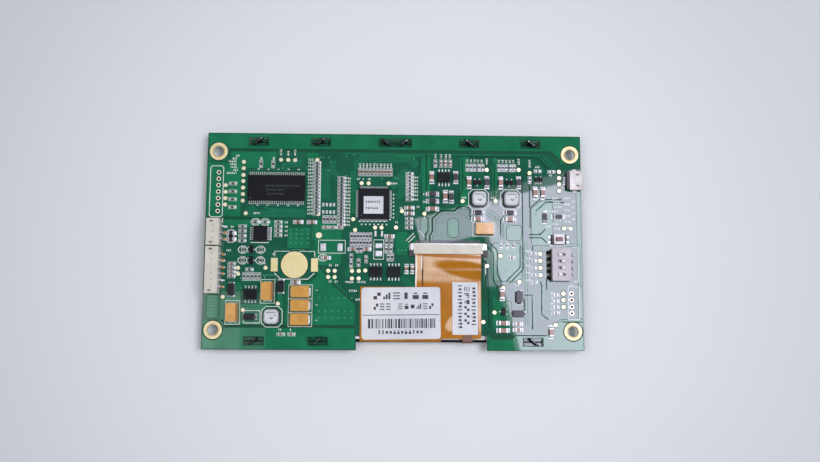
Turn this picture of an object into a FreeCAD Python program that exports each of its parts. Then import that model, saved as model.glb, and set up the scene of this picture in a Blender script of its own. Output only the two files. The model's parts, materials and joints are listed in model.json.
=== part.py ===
import FreeCAD, Part
import math
import os

from FreeCAD import Vector

# A flat display panel held by a steel bezel to the underside of its controller board.
# The display faces down, the component side of the board faces up.
# Millimetres. Origin: middle of the board in plan, front plane of the bezel in height.

# Panel: sheets and glass stacked in a moulded frame
panel_length = 120.7
panel_height = 75.8
panel_rail = 1.6
panel_floor = 0.4
panel_floor_opening = 8.0
glass_gap = 0.1
ledge = 3.0
polariser_margin = 0.8
front_polariser_thickness = 0.2
filter_glass_thickness = 0.5
tft_glass_thickness = 0.5
rear_polariser_thickness = 0.2
prism_sheet_thickness = 0.15
diffuser_sheet_thickness = 0.15
light_guide_thickness = 0.8
reflector_thickness = 0.1
foam_thickness = 0.9
foam_width = 5.0
driver_length = 20.0
driver_width = 1.2
driver_thickness = 0.3
led_count = 12
led_inset = 9.15
led_length = 3.0
led_depth = 1.2
strip_width = 2.6

# Board, larger than the bezel by a margin all round
board_margin_x = 11.8
board_margin_y = 3.1
board_thickness = 1.6
notch_side_gap = 1.4
notch_far_gap = 2.2
notch_depth = 5.8
hole_inset_x = 4.25
hole_inset_y = 7.4
hole_radius = 2.0
land_height = 0.05

# The layout grid shares the board into cells, so that a place on it follows the board.
layout_columns = 146
layout_rows = 84

# Bezel, a folded steel tray with twisted locking tabs
sheet = 0.5
bezel_side_gap = 0.35
bezel_end_gap = 0.5
bend_radius = 0.4
corner_relief = 1.3
lip_side = 6.0
lip_top = 4.2
tab_neck = 2.4
tab_head = 4.4
tab_head_height = 2.0
tab_chamfer = 0.5
tab_twist = 40.0
tab_step_count = 3
tab_lift = 0.05
tab_end_inset = 7.9
tab_inner_share = 0.546
tab_slot_end_gap = 1.4
tab_slot_side_gap = 0.2
twin_slot_end_gap = 0.45
twin_tab_spacing = 7.0

# Display flex, from the glass ledge round the board's notch to its socket
flex_thickness = 0.15
flex_bend = 0.6
tail_width = 25.3
flex_wing = 21.1
flex_fold_inset = 15.4
flex_top_y = -17.8
flex_rise_delay = 2.1
flex_wall_inset = 0.3
flex_free_inset = 1.4
flex_bulge = 1.2
tail_run_in = 2.0
backlight_tail_inset = 7.1
backlight_tail_width = 3.7
backlight_tail_proud = 0.2
backlight_tail_lap = 2.7

# Flex socket with its sliding lock
socket_x = 20.7
socket_y = -3.1
socket_end_wall = 0.65
socket_depth = 4.1
socket_height = 2.0
socket_slot_height = 1.0
socket_slot_depth = 3.4
socket_floor = 0.35
socket_ear_length = 1.0
socket_ear_depth = 2.7
socket_ear_height = 1.5
tail_height = 0.85
lock_bar = 0.85
lock_ear = 1.7
lock_ear_depth = 2.2
lock_height = 1.6
lock_tongue = 0.3
lock_gap = 0.1
tab_metal = 0.2
tail_pitch = 0.5
tail_edge = 0.4
contact_width = 0.25
contact_reach = 1.4

# Labels
label_thickness = 0.1
label_margin = 0.4
label_end_margin = 0.2
module_label_turn = 0.8
label_corner = 1.2
side_label_length = 9.8
side_label_inset = 4.4

# Leaded chips
lead_thickness = 0.15
chip_standoff = 0.1
memory_length = 22.2
memory_width = 10.16
memory_height = 1.0
memory_pitch = 0.8
memory_side_count = 27
memory_lead_width = 0.35
memory_reach = 1.0
controller_size = 12.0
controller_height = 1.4
controller_pitch = 0.6
controller_side_count = 18
controller_lead_width = 0.3
controller_reach = 0.6
sticker_length = 7.6
sticker_width = 6.8
transceiver_length = 5.9
transceiver_width = 5.3
transceiver_height = 1.75
transceiver_pitch = 0.65
transceiver_side_count = 8
transceiver_lead_width = 0.3
transceiver_reach = 1.2
soic_length = 4.9
soic_width = 3.9
soic_height = 1.5
soic_pitch = 1.27
soic_side_count = 4
soic_lead_width = 0.42
soic_reach = 1.1
mould_taper = 0.12

# Power inductors
inductor_base = 6.2
inductor_base_height = 0.9
inductor_base_chamfer = 1.1
inductor_top = 5.4
inductor_top_height = 2.5
inductor_corner = 1.6
inductor_edge = 0.5

# Moulded capacitors with folded terminals
tantalum_length = 7.3
tantalum_width = 4.3
tantalum_height = 2.8
tantalum_terminal_width = 2.4
tantalum_terminal = 0.15
tantalum_terminal_rise = 1.5
tantalum_foot = 1.3
tantalum_base_gap = 0.15

# Chip resistors and capacitors
chip_length = 1.6
chip_width = 0.8
resistor_height = 0.45
capacitor_height = 0.8
medium_length = 2.0
medium_width = 1.25
medium_height = 1.0
medium_end = 0.4
large_length = 3.2
large_width = 1.6
large_height = 1.4
large_end = 0.5

# Small transistors and diodes
transistor_length = 2.9
transistor_width = 1.5
transistor_height = 1.0
transistor_pitch = 0.95
transistor_lead_width = 0.4
transistor_reach = 0.55
diode_length = 4.3
diode_width = 2.6
diode_height = 2.1
diode_lead_width = 1.5
diode_reach = 0.5

# Side-entry wire sockets
wire_pitch = 2.5
wire_end_wall = 2.6
wire_socket_inset = 1.4
wire_socket_depth = 4.9
wire_socket_height = 5.0
wire_wall = 0.7
wire_rear_wall = 1.1
wire_vent_length = 1.2
wire_vent_width = 0.7
short_socket_count = 3
short_socket_y = 2.5
long_socket_count = 6
wire_socket_space = 0.55
wire_pin = 0.6
wire_pin_level = 2.3
wire_pin_reach = 2.6
wire_foot = 1.9
wire_foot_thickness = 0.3

# Micro socket on the right edge
usb_y = 24.0
usb_width = 7.5
usb_height = 2.6
usb_depth = 4.9
usb_wall = 0.3
usb_chamfer = 0.8
usb_rear = 1.1
usb_tongue_width = 3.9
usb_tongue_thickness = 0.6
usb_tongue_inset = 0.8
usb_contact_count = 5
usb_contact_pitch = 0.65
usb_contact_width = 0.3
usb_contact_thickness = 0.1
usb_foot_length = 0.9
usb_ear_length = 1.6
usb_ear_width = 0.9
usb_window_length = 0.9
usb_window_width = 0.5

# Four-way slide switch
dip_x = 64.1
dip_y = -9.1
dip_width = 7.2
dip_end_wall = 2.4
dip_height = 3.6
dip_count = 4
dip_pitch = 2.54
dip_slot_length = 2.9
dip_slot_width = 1.1
dip_slot_depth = 1.6
dip_travel = 1.3
dip_lever_length = 1.3
dip_lever_gap = 0.12
dip_lever_proud = 0.7
dip_lead_width = 0.9
dip_reach = 1.6
dip_lead_rise = 1.2
dip_lead_thickness = 0.25

# Push switch
push_x = 63.7
push_y = 0.9
push_length = 5.7
push_width = 3.4
push_base_height = 1.7
push_cover = 0.2
push_cover_length = 4.1
push_button_length = 2.4
push_button_width = 1.5
push_button_proud = 0.8
push_well_depth = 0.9
push_button_gap = 0.1
push_button_corner = 0.5
push_lead_length = 1.0
push_lead_width = 0.6

# Bare rows of plated holes for a stranger's plugs
header_pitch = 2.54
header_hole_radius = 0.5
left_header_inset = 4.6
left_header_y = 18.65
left_header_count = 7
right_header_inset = 4.6
right_header_y = -23.8
right_header_count = 4

# Contact pads of a coin cell that isn't fitted
cell_x = -38.4
cell_y = -9.6
cell_pad_radius = 5.15
cell_side_pad_length = 5.2
cell_side_pad_width = 2.6
cell_side_pad_offset = 7.7

# Heights of the stack, from the bezel's front plane up
front_polariser_z = sheet
filter_glass_z = front_polariser_z + front_polariser_thickness
tft_glass_z = filter_glass_z + filter_glass_thickness
rear_polariser_z = tft_glass_z + tft_glass_thickness
prism_sheet_z = rear_polariser_z + rear_polariser_thickness
diffuser_sheet_z = prism_sheet_z + prism_sheet_thickness
light_guide_z = diffuser_sheet_z + diffuser_sheet_thickness
reflector_z = light_guide_z + light_guide_thickness
panel_floor_z = reflector_z + reflector_thickness
panel_back_z = panel_floor_z + panel_floor
board_z = panel_back_z + foam_thickness
top = board_z + board_thickness

bezel_length = panel_length + 2 * (bezel_side_gap + sheet)
bezel_height = panel_height + 2 * (bezel_end_gap + sheet)
bezel_bottom = -bezel_height / 2
window_length = bezel_length - 2 * lip_side
window_height = bezel_height - 2 * lip_top - ledge
board_length = bezel_length + 2 * board_margin_x
board_height = bezel_height + 2 * board_margin_y
half_length = board_length / 2
half_height = board_height / 2
column = board_length / layout_columns
row = board_height / layout_rows
pocket_length = panel_length - 2 * panel_rail
pocket_height = panel_height - 2 * panel_rail
glass_length = pocket_length - 2 * glass_gap
glass_height = pocket_height - 2 * glass_gap
view_y = ledge / 2
hole_x = half_length - hole_inset_x
hole_y = half_height - hole_inset_y

# Plan of the flex: the tail decides where the wide part, the notch and the socket lie
tail_x = socket_x * column
tail_right = tail_x + tail_width / 2
flex_left = tail_x - tail_width / 2 - flex_wing
flex_right = tail_right
flex_fold_right = tail_right - flex_fold_inset
flex_outside = bezel_bottom + flex_wall_inset
flex_fold = flex_outside + flex_bend
flex_free_edge = bezel_bottom + flex_free_inset
flex_top = flex_top_y * row
flex_rise = flex_top + flex_rise_delay
backlight_tail_left = tail_right - backlight_tail_inset
backlight_tail_right = backlight_tail_left + backlight_tail_width
backlight_tail_outside = bezel_bottom - backlight_tail_proud
backlight_tail_end = bezel_bottom + backlight_tail_lap
notch_left = flex_left - notch_side_gap
notch_right = flex_right + notch_far_gap
notch_y = -half_height + notch_depth
socket_length = tail_width + 2 * socket_end_wall

nodes = {}


def add(node, *solids):
    """Put solids into a node."""
    nodes.setdefault(node, []).extend(solids)


def place(x, y):
    """A place on the board, given in cells of the layout grid from its middle."""
    return x * column, y * row


def box(x0, x1, y0, y1, z0, z1):
    return Part.makeBox(x1 - x0, y1 - y0, z1 - z0, Vector(x0, y0, z0))


def block(x, y, length, width, z0, height):
    """A box centred on x and y."""
    return box(x - length / 2, x + length / 2, y - width / 2, y + width / 2, z0, z0 + height)


def prism(points, thickness, at, turn=0.0):
    """A side view in X and Z, drawn about Y, then turned about Z and moved."""
    outline = [Vector(u, -thickness / 2, w) for u, w in points]
    solid = Part.Face(Part.makePolygon(outline + outline[:1])).extrude(Vector(0, thickness, 0))
    solid.rotate(Vector(0, 0, 0), Vector(0, 0, 1), turn)
    solid.translate(at)
    return solid


def plate(points, z0, height):
    """A plan outline of straight edges, raised."""
    outline = [Vector(x, y, z0) for x, y in points]
    return Part.Face(Part.makePolygon(outline + outline[:1])).extrude(Vector(0, 0, height))


def rounded_block(x, y, length, width, z0, height, radius):
    """A block with rounded upright edges."""
    solid = block(x, y, length, width, z0, height)
    upright = [edge for edge in solid.Edges if abs(edge.tangentAt(edge.FirstParameter).z) > 0.99]
    return solid.makeFillet(min(radius, 0.45 * length, 0.45 * width), upright)


def tapered_block(x, y, length, width, z0, height):
    """A moulded chip body: widest at mid height, drafted towards top and bottom."""
    def outline(z, inset):
        a, b = length / 2 - inset, width / 2 - inset
        corners = [Vector(x + i * a, y + j * b, z) for i, j in ((-1, -1), (1, -1), (1, 1), (-1, 1))]
        return Part.makePolygon(corners + corners[:1])
    waist = z0 + height / 2
    lower = Part.makeLoft([outline(z0, mould_taper), outline(waist, 0.0)], True, True)
    upper = Part.makeLoft([outline(waist, 0.0), outline(z0 + height, mould_taper)], True, True)
    return lower.fuse(upper)


def along_row(count, pitch):
    """Offsets of equal steps, centred on zero."""
    return [(i - (count - 1) / 2) * pitch for i in range(count)]


def lead_view(reach, rise, thickness):
    """Side view of a formed lead: it leaves the body level, slopes down and ends in a foot."""
    knee = 0.45 * reach
    return [(0, rise), (0, rise + thickness), (knee, thickness), (reach, thickness), (reach, 0), (0.8 * knee, 0)]


def short_lead_view(reach, rise, thickness):
    """Side view of a stubby lead that slopes straight to the board."""
    return [(0, rise), (0, rise + thickness), (reach, thickness), (reach, 0)]


def leads(node, x, y, half_body, offsets, width, view, sides):
    """Rows of leads on the given sides of a body, by compass angle."""
    for side in sides:
        out_x, out_y = math.cos(math.radians(side)), math.sin(math.radians(side))
        for offset in offsets:
            at = Vector(x + out_x * half_body - out_y * offset, y + out_y * half_body + out_x * offset, top)
            add(node, prism(view, width, at, side))


def mounting_holes():
    """Centres of the four corner holes."""
    return [(i * hole_x, j * hole_y) for j in (-1, 1) for i in (-1, 1)]


def header_holes():
    """Centres of the bare plated holes of both header rows."""
    left = [(-half_length + left_header_inset, left_header_y * row + d)
            for d in along_row(left_header_count, header_pitch)]
    right = [(half_length - right_header_inset, right_header_y * row + d)
             for d in along_row(right_header_count, header_pitch)]
    return left + right


def tab_places():
    """Locking tabs as x, side of the board and direction of twist: the single ones, then the twins."""
    outer = bezel_length / 2 - tab_end_inset
    inner = outer * tab_inner_share
    singles = [(-outer, 1, 1), (-inner, 1, 1), (inner, 1, -1), (outer, 1, -1), (-outer, -1, 1), (-inner, -1, 1),
               (outer, -1, -1)]
    twins = [(-twin_tab_spacing / 2, 1, -1), (twin_tab_spacing / 2, 1, 1)]
    return singles, twins


def tab_line(side):
    """Middle of the bezel wall that a row of tabs grows from."""
    return side * (bezel_height - sheet) / 2


def tab_slot(x, side, length):
    """A slot through the board for one or two tabs."""
    width = tab_neck + 2 * tab_slot_side_gap
    return block(x, tab_line(side), length, width, board_z - 1, board_thickness + 2)


def main_board():
    """Board with its notch, corner holes, header holes and tab slots."""
    solid = block(0, 0, board_length, board_height, board_z, board_thickness)
    cuts = [box(notch_left, notch_right, -half_height - 1, notch_y, board_z - 1, top + 1)]
    for x, y in mounting_holes():
        cuts.append(Part.makeCylinder(hole_radius, board_thickness + 2, Vector(x, y, board_z - 1)))
    for x, y in header_holes():
        cuts.append(Part.makeCylinder(header_hole_radius, board_thickness + 2, Vector(x, y, board_z - 1)))
    for x, side, _ in tab_places()[0]:
        cuts.append(tab_slot(x, side, tab_head + 2 * tab_slot_end_gap))
    cuts.append(tab_slot(0, 1, twin_tab_spacing + tab_head + 2 * twin_slot_end_gap))
    add("main_board", solid.cut(cuts))


def plated_lands():
    """The three plated contacts of a coin cell that isn't fitted: a round one between two side ones."""
    x, y = place(cell_x, cell_y)
    add("plated_lands", Part.makeCylinder(cell_pad_radius, land_height, Vector(x, y, top)))
    for side in (-1, 1):
        add("plated_lands", block(x + side * cell_side_pad_offset, y, cell_side_pad_width, cell_side_pad_length, top,
                                  land_height))


def twisted_tab(x, side, twist):
    """A tab that rises through its slot, its neck twisted so that the wide head can't go back."""
    y = tab_line(side)
    neck_top = top + tab_lift

    def section(step):
        """Corners of the neck at one level, turned by its share of the twist."""
        share = step / tab_step_count
        turn = math.radians(twist * share)
        c, s = math.cos(turn), math.sin(turn)
        z = board_z + (neck_top - board_z) * share
        a, b = tab_neck / 2, sheet / 2
        return [Vector(x + i * a * c - j * b * s, y + i * a * s + j * b * c, z)
                for i, j in ((-1, -1), (1, -1), (1, 1), (-1, 1))]

    rings = [section(step) for step in range(tab_step_count + 1)]
    faces = [rings[0], rings[-1]]
    for low, high in zip(rings, rings[1:]):
        for i in range(4):
            j = (i + 1) % 4
            faces += [[low[i], low[j], high[j]], [low[i], high[j], high[i]]]
    neck = Part.Solid(Part.Shell([Part.Face(Part.makePolygon(f + f[:1])) for f in faces]))
    if neck.Volume < 0:
        neck.reverse()
    half = tab_head / 2
    head = prism([(-half, 0), (half, 0), (half, tab_head_height - tab_chamfer),
                  (half - tab_chamfer, tab_head_height), (tab_chamfer - half, tab_head_height),
                  (-half, tab_head_height - tab_chamfer)], sheet, Vector(x, y, neck_top), twist)
    return neck.fuse(head)


def bezel_frame():
    """Folded steel tray: lip round the window, four walls, relieved corners, flex reliefs and tabs."""
    tray = block(0, 0, bezel_length, bezel_height, 0, board_z)
    front_edges = [edge for edge in tray.Edges if edge.BoundBox.ZMax < 0.001]
    tray = tray.makeFillet(bend_radius, front_edges)
    hollow = block(0, 0, bezel_length - 2 * sheet, bezel_height - 2 * sheet, sheet, board_z)
    window = block(0, view_y, window_length, window_height, -1, sheet + 2)
    cuts = [hollow, window]
    for i in (-1, 1):
        for j in (-1, 1):
            cuts.append(block(i * bezel_length / 2, j * bezel_height / 2, 2 * corner_relief, 2 * corner_relief,
                              sheet, board_z))
    wall_out = -bezel_height / 2 - 1
    wall_in = -bezel_height / 2 + sheet
    cuts.append(box(flex_left - 0.6, flex_fold_right + 0.6, wall_out, wall_in, sheet, board_z + 1))
    cuts.append(box(backlight_tail_left - 0.5, backlight_tail_right + 0.5, wall_out, wall_in, reflector_z - 0.6,
                    board_z + 1))
    tray = tray.cut(cuts)
    singles, twins = tab_places()
    tabs = [twisted_tab(x, side, turn * tab_twist) for x, side, turn in singles + twins]
    add("bezel_frame", tray.fuse(tabs))


def panel_frame():
    """Moulded frame: a rail round the glass and a floor with a large opening, notched for both flexes."""
    rim = block(0, 0, panel_length, panel_height, sheet, panel_back_z - sheet)
    pocket = block(0, 0, pocket_length, pocket_height, sheet - 1, panel_floor_z - sheet + 1)
    opening = block(0, 0, pocket_length - 2 * panel_floor_opening, pocket_height - 2 * panel_floor_opening, sheet,
                    panel_back_z)
    below = -panel_height / 2 - 1
    rail_inside = -pocket_height / 2 + 0.1
    flex_way = box(flex_left - 0.3, flex_fold_right + 0.3, below, rail_inside, sheet - 1, tft_glass_z)
    tail_way = box(backlight_tail_left - 0.2, backlight_tail_right + 0.2, below, rail_inside,
                   reflector_z - flex_thickness, panel_floor_z)
    add("panel_frame", rim.cut([pocket, opening, flex_way, tail_way]))


def panel_stack():
    """Polarisers, both glasses, light sheets and the foam that fills the space to the board."""
    filter_height = glass_height - ledge
    view_length = glass_length - 2 * polariser_margin
    view_height = filter_height - 2 * polariser_margin
    add("front_polariser", block(0, view_y, view_length, view_height, front_polariser_z, front_polariser_thickness))
    add("colour_filter_glass", block(0, view_y, glass_length, filter_height, filter_glass_z, filter_glass_thickness))
    add("tft_glass", block(0, 0, glass_length, glass_height, tft_glass_z, tft_glass_thickness))
    add("rear_polariser", block(0, view_y, view_length, view_height, rear_polariser_z, rear_polariser_thickness))
    guide_bottom = -glass_height / 2 + led_depth
    guide_top = glass_height / 2
    guide_y = (guide_bottom + guide_top) / 2
    guide_height = guide_top - guide_bottom
    add("prism_sheet", block(0, guide_y, glass_length, guide_height, prism_sheet_z, prism_sheet_thickness))
    add("diffuser_sheet", block(0, guide_y, glass_length, guide_height, diffuser_sheet_z, diffuser_sheet_thickness))
    add("light_guide", block(0, guide_y, glass_length, guide_height, light_guide_z, light_guide_thickness))
    strip_top = -glass_height / 2 + strip_width
    add("reflector_sheet", box(-glass_length / 2, glass_length / 2, strip_top, guide_top, reflector_z, panel_floor_z))
    driver_y = -glass_height / 2 + ledge - driver_width / 2 - 0.2
    add("panel_driver_chip", block((flex_left + flex_fold_right) / 2, driver_y, driver_length, driver_width,
                                   tft_glass_z - driver_thickness, driver_thickness))
    led_span = glass_length - 2 * led_inset
    for x in along_row(led_count, led_span / (led_count - 1)):
        add("backlight_leds", box(x - led_length / 2, x + led_length / 2, -glass_height / 2, guide_bottom,
                                  light_guide_z, reflector_z))
    strip_half = led_span / 2 + led_length
    add("led_strip", box(-strip_half, strip_half, -glass_height / 2, strip_top, reflector_z, panel_floor_z))
    foam_x = pocket_length / 2 - foam_width / 2
    foam_y = pocket_height / 2 - foam_width / 2
    inner_height = pocket_height - 2 * foam_width
    for side in (-1, 1):
        add("foam_tape", block(0, side * foam_y, pocket_length, foam_width, panel_back_z, foam_thickness))
        add("foam_tape", block(side * foam_x, 0, foam_width, inner_height, panel_back_z, foam_thickness))


def ribbon(path, left, right):
    """A flat flex along a side view in Y and Z, built from straight runs and arcs about their middle line."""
    half = flex_thickness / 2
    upper, lower = [], []
    for piece in path:
        if piece[0] == "line":
            _, start, end = piece
            run = Vector(0, end[0] - start[0], end[1] - start[1]).normalize()
            normal = Vector(0, -run.z, run.y) * half
            a, b = Vector(0, *start), Vector(0, *end)
            upper.append(Part.LineSegment(a + normal, b + normal).toShape())
            lower.append(Part.LineSegment(a - normal, b - normal).toShape())
        else:
            _, centre, radius, begin, finish = piece
            middle = (begin + finish) / 2
            left_turn = finish > begin
            for rows, grow in ((upper, -half if left_turn else half), (lower, half if left_turn else -half)):
                points = [Vector(0, centre[0] + (radius + grow) * math.cos(math.radians(t)),
                                 centre[1] + (radius + grow) * math.sin(math.radians(t)))
                          for t in (begin, middle, finish)]
                rows.append(Part.Arc(*points).toShape())
    start_cap = Part.LineSegment(upper[0].Vertexes[0].Point, lower[0].Vertexes[0].Point).toShape()
    end_cap = Part.LineSegment(upper[-1].Vertexes[-1].Point, lower[-1].Vertexes[-1].Point).toShape()
    wire = Part.Wire(Part.__sortEdges__(upper + lower + [start_cap, end_cap]))
    solid = Part.Face(wire).extrude(Vector(right - left, 0, 0))
    solid.translate(Vector(left, 0, 0))
    return solid


def gentle_rise(y0, z0, y1, z1):
    """Two equal tangent arcs that lead a level run into another level run."""
    run, rise = y1 - y0, z1 - z0
    radius = (run * run + rise * rise) / (4 * abs(rise))
    angle = math.degrees(2 * math.atan2(abs(rise), run))
    if rise > 0:
        return [("arc", (y0, z0 + radius), radius, -90, -90 + angle),
                ("arc", (y1, z1 - radius), radius, 90 + angle, 90)]
    return [("arc", (y0, z0 - radius), radius, 90, 90 - angle),
            ("arc", (y1, z1 + radius), radius, -90 - angle, -90)]


def display_flex():
    """Bonded under the glass ledge, folded up through the notch, flat on the board, bulging into the socket."""
    half = flex_thickness / 2
    under = tft_glass_z - half
    over = top + half
    bond_end = -glass_height / 2 + ledge - driver_width - 0.4
    mouth = socket_y * row - socket_depth / 2
    inside = mouth + socket_slot_depth - 0.4
    tail_level = top + tail_height + half
    crest = (flex_rise + mouth - tail_run_in) / 2
    path = [("line", (bond_end, under), (flex_fold, under)),
            ("arc", (flex_fold, under + flex_bend), flex_bend, 270, 180),
            ("line", (flex_outside, under + flex_bend), (flex_outside, over - flex_bend)),
            ("arc", (flex_fold, over - flex_bend), flex_bend, 180, 90),
            ("line", (flex_fold, over), (flex_top, over))]
    folded = ribbon(path, flex_left, flex_fold_right)
    flat = box(flex_fold_right, flex_right, flex_free_edge, flex_top, top, top + flex_thickness)
    tail_path = [("line", (flex_top - 1, over), (flex_rise, over))]
    tail_path += gentle_rise(flex_rise, over, crest, over + flex_bulge)
    tail_path += gentle_rise(crest, over + flex_bulge, mouth - tail_run_in, tail_level)
    tail_path.append(("line", (mouth - tail_run_in, tail_level), (inside, tail_level)))
    tail = ribbon(tail_path, tail_x - tail_width / 2, tail_right)
    add("display_flex", folded.fuse([flat, tail]).removeSplitter())


def backlight_flex():
    """Narrow tail from the light strip, over the bezel wall and down onto the display flex."""
    half = flex_thickness / 2
    low = panel_floor_z - half
    high = top + flex_thickness + half
    start = -glass_height / 2
    fold = backlight_tail_outside + flex_bend
    path = [("line", (start, low), (fold, low)),
            ("arc", (fold, low + flex_bend), flex_bend, 270, 180),
            ("line", (backlight_tail_outside, low + flex_bend), (backlight_tail_outside, high - flex_bend)),
            ("arc", (fold, high - flex_bend), flex_bend, 180, 90),
            ("line", (fold, high), (backlight_tail_end, high))]
    add("backlight_flex", ribbon(path, backlight_tail_left, backlight_tail_right))


def flex_socket():
    """Low socket body, open towards the flex, with soldered hold-downs and a row of tails."""
    x, y = place(socket_x, socket_y)
    front, rear = y - socket_depth / 2, y + socket_depth / 2
    body = block(x, y, socket_length, socket_depth, top, socket_height)
    slot_cut = box(x - tail_width / 2 - 0.15, x + tail_width / 2 + 0.15, front - 1, front + socket_slot_depth,
                   top + socket_floor, top + socket_floor + socket_slot_height)
    body = body.cut(slot_cut)
    half = socket_length / 2
    ears = [block(x + side * (half + socket_ear_length / 2), rear - socket_ear_depth / 2, socket_ear_length,
                  socket_ear_depth, top, socket_ear_height) for side in (-1, 1)]
    add("flex_socket_body", body.fuse(ears).removeSplitter())
    reach = socket_ear_length + tab_metal
    for side in (-1, 1):
        view = [(0, socket_ear_height), (0, socket_ear_height + tab_metal), (reach, socket_ear_height + tab_metal),
                (reach, tab_metal), (reach + 0.5, tab_metal), (reach + 0.5, 0), (socket_ear_length, 0),
                (socket_ear_length, socket_ear_height)]
        turn = 0 if side > 0 else 180
        add("flex_socket_tabs", prism(view, socket_ear_depth - 0.4, Vector(x + side * half, rear
                                      - socket_ear_depth / 2, top), turn))
    contact_count = round((tail_width - 2 * tail_edge) / tail_pitch) + 1
    for d in along_row(contact_count, tail_pitch):
        add("flex_socket_contacts", box(x + d - contact_width / 2, x + d + contact_width / 2, rear,
                                        rear + contact_reach, top, top + lead_thickness))
    bar_z = top + socket_floor + lock_gap
    bar_front = front - lock_gap - lock_bar
    bar_half = half + lock_gap + lock_ear
    bar = box(x - bar_half, x + bar_half, bar_front, front - lock_gap, bar_z, bar_z + lock_tongue)
    tongue = box(x - tail_width / 2, x + tail_width / 2, front - lock_gap, front + socket_slot_depth - 1.4,
                 bar_z, bar_z + lock_tongue)
    lock_ears = [box(min(x + side * (half + lock_gap), x + side * bar_half),
                     max(x + side * (half + lock_gap), x + side * bar_half),
                     bar_front, bar_front + lock_ear_depth, top + lock_gap, top + lock_height) for side in (-1, 1)]
    add("flex_lock", bar.fuse([tongue] + lock_ears).removeSplitter())


def labels():
    """Paper labels on the flex: one over the fold, one beside it over the tail's wide end."""
    level = top + flex_thickness
    length = flex_fold_right - flex_left - 2 * label_margin
    height = flex_top - flex_fold - 2 * label_end_margin
    label = rounded_block(0, 0, length, height, level, label_thickness, label_corner)
    label.rotate(Vector(0, 0, 0), Vector(0, 0, 1), module_label_turn)
    label.translate(Vector((flex_left + flex_fold_right) / 2 + label_margin / 2, (flex_fold + flex_top) / 2, 0))
    add("module_label", label)
    left = flex_fold_right + side_label_inset
    add("side_label", box(left, left + side_label_length, backlight_tail_end + label_end_margin,
                          flex_rise - label_end_margin, level, level + label_thickness))


def memory_chip():
    x, y = place(-45.9, 20.2)
    add("memory_chip", tapered_block(x, y, memory_length, memory_width, top + chip_standoff, memory_height))
    rise = chip_standoff + memory_height / 2 - lead_thickness
    leads("memory_leads", x, y, memory_width / 2, along_row(memory_side_count, memory_pitch), memory_lead_width,
          short_lead_view(memory_reach, rise, lead_thickness), (90, 270))


def controller_chip():
    x, y = place(-8.15, 14.3)
    add("controller_chip", tapered_block(x, y, controller_size, controller_size, top + chip_standoff,
                                         controller_height))
    rise = chip_standoff + controller_height / 2 - lead_thickness
    leads("controller_leads", x, y, controller_size / 2, along_row(controller_side_count, controller_pitch),
          controller_lead_width, short_lead_view(controller_reach, rise, lead_thickness), (0, 90, 180, 270))
    lid = top + chip_standoff + controller_height
    add("controller_sticker", block(x - 0.1, y - 0.6, sticker_length, sticker_width, lid, label_thickness))


def transceiver_chip():
    x, y = place(-51.6, 2.35)
    add("transceiver_chip", tapered_block(x, y, transceiver_width, transceiver_length, top + chip_standoff,
                                          transceiver_height))
    rise = chip_standoff + transceiver_height / 2 - lead_thickness
    leads("transceiver_leads", x, y, transceiver_width / 2, along_row(transceiver_side_count, transceiver_pitch),
          transceiver_lead_width, short_lead_view(transceiver_reach, rise, lead_thickness), (0, 180))


def small_chips():
    """Four eight-lead chips."""
    rise = chip_standoff + soic_height / 2 - lead_thickness
    for spot in ((-54.85, -21.0), (-7.15, -12.1), (-0.15, -12.1), (19.15, 25.0)):
        x, y = place(*spot)
        add("small_chips", tapered_block(x, y, soic_length, soic_width, top + chip_standoff, soic_height))
        leads("small_chip_leads", x, y, soic_width / 2, along_row(soic_side_count, soic_pitch), soic_lead_width,
              lead_view(soic_reach, rise, lead_thickness), (90, 270))


def inductors():
    """Chamfered base with a rounded, filled top."""
    for spot in ((32.7, 16.5), (45.2, 16.5), (-46.5, -29.5)):
        x, y = place(*spot)
        a, c = inductor_base / 2, inductor_base_chamfer
        outline = [(x - a + c, y - a), (x + a - c, y - a), (x + a, y - a + c), (x + a, y + a - c),
                   (x + a - c, y + a), (x - a + c, y + a), (x - a, y + a - c), (x - a, y - a + c)]
        add("inductor_bases", plate(outline, top, inductor_base_height))
        crown = rounded_block(x, y, inductor_top, inductor_top, top + inductor_base_height, inductor_top_height,
                              inductor_corner)
        crown_top = top + inductor_base_height + inductor_top_height
        rim = [edge for edge in crown.Edges if edge.BoundBox.ZMin > crown_top - 0.001]
        add("inductor_tops", crown.makeChamfer(inductor_edge, rim))


def tantalum(x, y, turn):
    """Moulded body between two strips that fold down its ends and under it."""
    half = tantalum_length / 2
    inner = half - tantalum_terminal
    base = tantalum_base_gap
    draft = 0.1
    body = prism([(-inner, base), (inner, base), (inner, base + tantalum_terminal_rise),
                  (inner - draft, tantalum_height), (draft - inner, tantalum_height),
                  (-inner, base + tantalum_terminal_rise)], tantalum_width, Vector(x, y, top), turn)
    add("tantalum_bodies", body)
    view = [(half - tantalum_foot, 0), (half, 0), (half, base + tantalum_terminal_rise),
            (inner, base + tantalum_terminal_rise), (inner, base), (half - tantalum_foot, base)]
    for flip in (0, 180):
        add("tantalum_terminals", prism(view, tantalum_terminal_width, Vector(x, y, top), turn + flip))


def tantalums():
    for spot, turn in (((-48.4, -19.85), 90), ((-61.5, -27.95), 90), ((-35.85, -20.0), 0), ((-35.85, -25.25), 0),
                       ((-35.85, -30.5), 0), ((34.8, 4.75), 0)):
        x, y = place(*spot)
        tantalum(x, y, turn)


CHIP_FORMS = {
    "resistor": ("chip_resistors", chip_length, chip_width, resistor_height, 0.0),
    "capacitor": ("chip_capacitors", chip_length, chip_width, capacitor_height, 0.0),
    "medium": ("chip_capacitors", medium_length, medium_width, medium_height, medium_end),
    "medium_dark": ("chip_resistors", medium_length, medium_width, medium_height, medium_end),
    "large": ("chip_capacitors", large_length, large_width, large_height, large_end),
    "large_dark": ("chip_resistors", large_length, large_width, large_height, large_end),
}


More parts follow.
